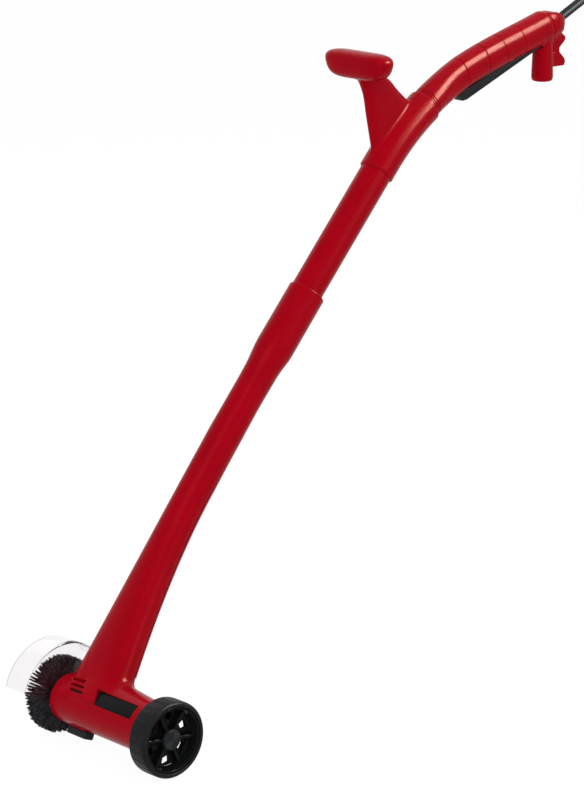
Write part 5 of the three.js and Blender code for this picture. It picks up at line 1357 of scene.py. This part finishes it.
def seen_directly(tree):
    """1 for rays from the camera, from glossy surfaces and through clear ones."""
    path = add_node(tree, "ShaderNodeLightPath").outputs
    total = path["Is Camera Ray"]
    for name in ("Is Glossy Ray", "Is Transmission Ray"):
        total = add_node(tree, "ShaderNodeMath", {0: total, 1: path[name]}, operation="ADD", use_clamp=True).outputs[0]
    return total


def end_in_two(tree, kind, unseen, seen):
    """Ends a tree in a shader that is seen directly and one that lights the scene."""
    mix = add_node(tree, "ShaderNodeMixShader", {0: seen_directly(tree), 1: unseen.outputs[0], 2: seen.outputs[0]})
    add_node(tree, kind, {0: mix.outputs[0]})


FOCAL_PIXELS, PHOTO_HEIGHT, SENSOR = 3238, 785, 36
CAMERA_TURN, CAMERA_DISTANCE, CAMERA_HEIGHT = -42 * DEGREE, 4000, 1412.0
AIM = np.array([335.0, -60.0, 391.0])
FLOOR_HALF, FLOOR_DROP = 9, 0.0008


def build_stage():
    scene = bpy.context.scene
    scene.world = bpy.data.worlds.new("studio")
    tree = emptied(scene.world)
    room, plain = [
        add_node(tree, "ShaderNodeBackground", {"Color": (1, 1, 1, 1), "Strength": level}) for level in (0.4, 1.0)]
    end_in_two(tree, "ShaderNodeOutputWorld", room, plain)

    floor = bpy.data.materials.new("pale floor")
    tree = emptied(floor)
    matt, faint = [
        add_node(tree, "ShaderNodeBsdfDiffuse", {"Color": (grey, grey, grey, 1)}) for grey in (0.8, 0.12)]
    glow = add_node(tree, "ShaderNodeEmission", {"Strength": 0.94})
    bright = add_node(tree, "ShaderNodeAddShader", {0: faint.outputs[0], 1: glow.outputs[0]})
    end_in_two(tree, "ShaderNodeOutputMaterial", matt, bright)
    mesh = bpy.data.meshes.new("floor")
    mesh.from_pydata([(x * FLOOR_HALF, y * FLOOR_HALF, -FLOOR_DROP) for x, y in CORNERS], [], [(0, 1, 2, 3)])
    mesh.materials.append(floor)
    placed("floor", mesh)

    camera = bpy.data.cameras.new("camera")
    camera.lens = FOCAL_PIXELS * SENSOR / PHOTO_HEIGHT
    camera.sensor_width = SENSOR
    camera.clip_end = 60
    scene.camera = placed("camera", camera)
    middle = world(AIM)
    spot = world([AIM[0] + CAMERA_DISTANCE * math.sin(CAMERA_TURN), AIM[1] - CAMERA_DISTANCE * math.cos(CAMERA_TURN),
                  CAMERA_HEIGHT])
    scene.camera.location = spot
    scene.camera.rotation_euler = Vector(middle - spot).to_track_quat("-Z", "Y").to_euler()

    grip = world(stem_point(980))
    lamp("key strip", grip, 22, 33, 2.4, (1.9, 0.14), 16)
    lamp("grip highlight", grip, 29, 27, 2.4, (1.05, 1.15), 480, diffuse=False)
    lamp("sleeve line high", grip, 6, 45, 2.4, (0.6, 0.06), 9, diffuse=False)
    lamp("sleeve line low", grip, 6, 27, 2.4, (0.6, 0.06), 9, diffuse=False)
    lamp("wide front", middle, -62, 28, 3.4, (2.2, 2.2), 44)
    lamp("top", middle, 60, 72, 3.0, (2.4, 2.4), 22)
    lamp("back", middle, 165, 35, 3.2, (2.0, 2.0), 10)
    scene.view_settings.view_transform = "Standard"


STEPS = (
    ("housing", "Barrel and lower stem", "Builds the two shells of the barrel and lower stem", build_housing),
    ("tube", "Middle tube", "Builds the middle tube", build_tube),
    ("aux_handle", "Auxiliary handle", "Builds the sleeve, fin and cross grip", build_aux_handle),
    ("rear_grip", "Rear grip", "Builds the rear grip with its stub and cable hook", build_rear_grip),
    ("lever", "Switch lever", "Builds the switch lever", build_lever),
    ("fittings", "Name plate and lock button", "Builds the bare name plate and the lock button", build_small_fittings),
    ("guard", "Clear guard", "Builds the clear guard", build_guard),
    ("brush", "Brush", "Builds the bristles, hub, flange and nut", build_brush),
    ("wheel", "Wheel", "Builds the tyre, rim and hub cap", build_wheel),
    ("lead", "Lead and plug", "Builds the strain relief, the mains lead and its plug", build_lead),
    ("screws", "Screws", "Builds the screws", build_screws),
)


class PATIO_OT_materials(bpy.types.Operator):
    """Makes the materials and gives the carried-over pieces theirs"""
    bl_idname = "patio.materials"
    bl_label = "Materials"

    def execute(self, context):
        make_materials()
        return {"FINISHED"}


class PATIO_OT_stage(bpy.types.Operator):
    """Makes the floor, the lights and the camera"""
    bl_idname = "patio.stage"
    bl_label = "Stage"

    def execute(self, context):
        build_stage()
        return {"FINISHED"}


def piece_operator(key, label, words, build):
    """An operator class for one piece or group of pieces."""
    def execute(self, context):
        build()
        return {"FINISHED"}

    return type(f"PATIO_OT_{key}", (bpy.types.Operator,), {
        "__doc__": words, "bl_idname": f"patio.{key}", "bl_label": label, "execute": execute,
    })


PIECES = [piece_operator(*step) for step in STEPS]


class PATIO_PT_panel(bpy.types.Panel):
    """Sizes, colours and pieces of the patio cleaner"""
    bl_label = "Patio cleaner"
    bl_idname = "PATIO_PT_panel"
    bl_space_type = "VIEW_3D"
    bl_region_type = "UI"
    bl_category = "Patio cleaner"

    def draw(self, context):
        for group in (context.scene.patio_sizes, context.scene.patio_colours):
            for name in group.__annotations__:
                self.layout.prop(group, name)
        for piece in (PATIO_OT_materials, *PIECES, PATIO_OT_stage):
            self.layout.operator(piece.bl_idname)


CLASSES = (PatioSizes, PatioColours, PATIO_OT_materials, PATIO_OT_stage, *PIECES, PATIO_PT_panel)


def register():
    for item in CLASSES:
        bpy.utils.register_class(item)
    bpy.types.Scene.patio_sizes = bpy.props.PointerProperty(type=PatioSizes)
    bpy.types.Scene.patio_colours = bpy.props.PointerProperty(type=PatioColours)


def unregister():
    del bpy.types.Scene.patio_sizes
    del bpy.types.Scene.patio_colours
    for item in reversed(CLASSES):
        bpy.utils.unregister_class(item)


def main():
    register()
    bpy.ops.patio.materials()
    bpy.ops.patio.stage()
    bpy.ops.patio.lead()
    for key, *_ in STEPS:
        if key != "lead":
            getattr(bpy.ops.patio, key)()
    bpy.context.view_layer.update()


if __name__ == "__main__":
    main()
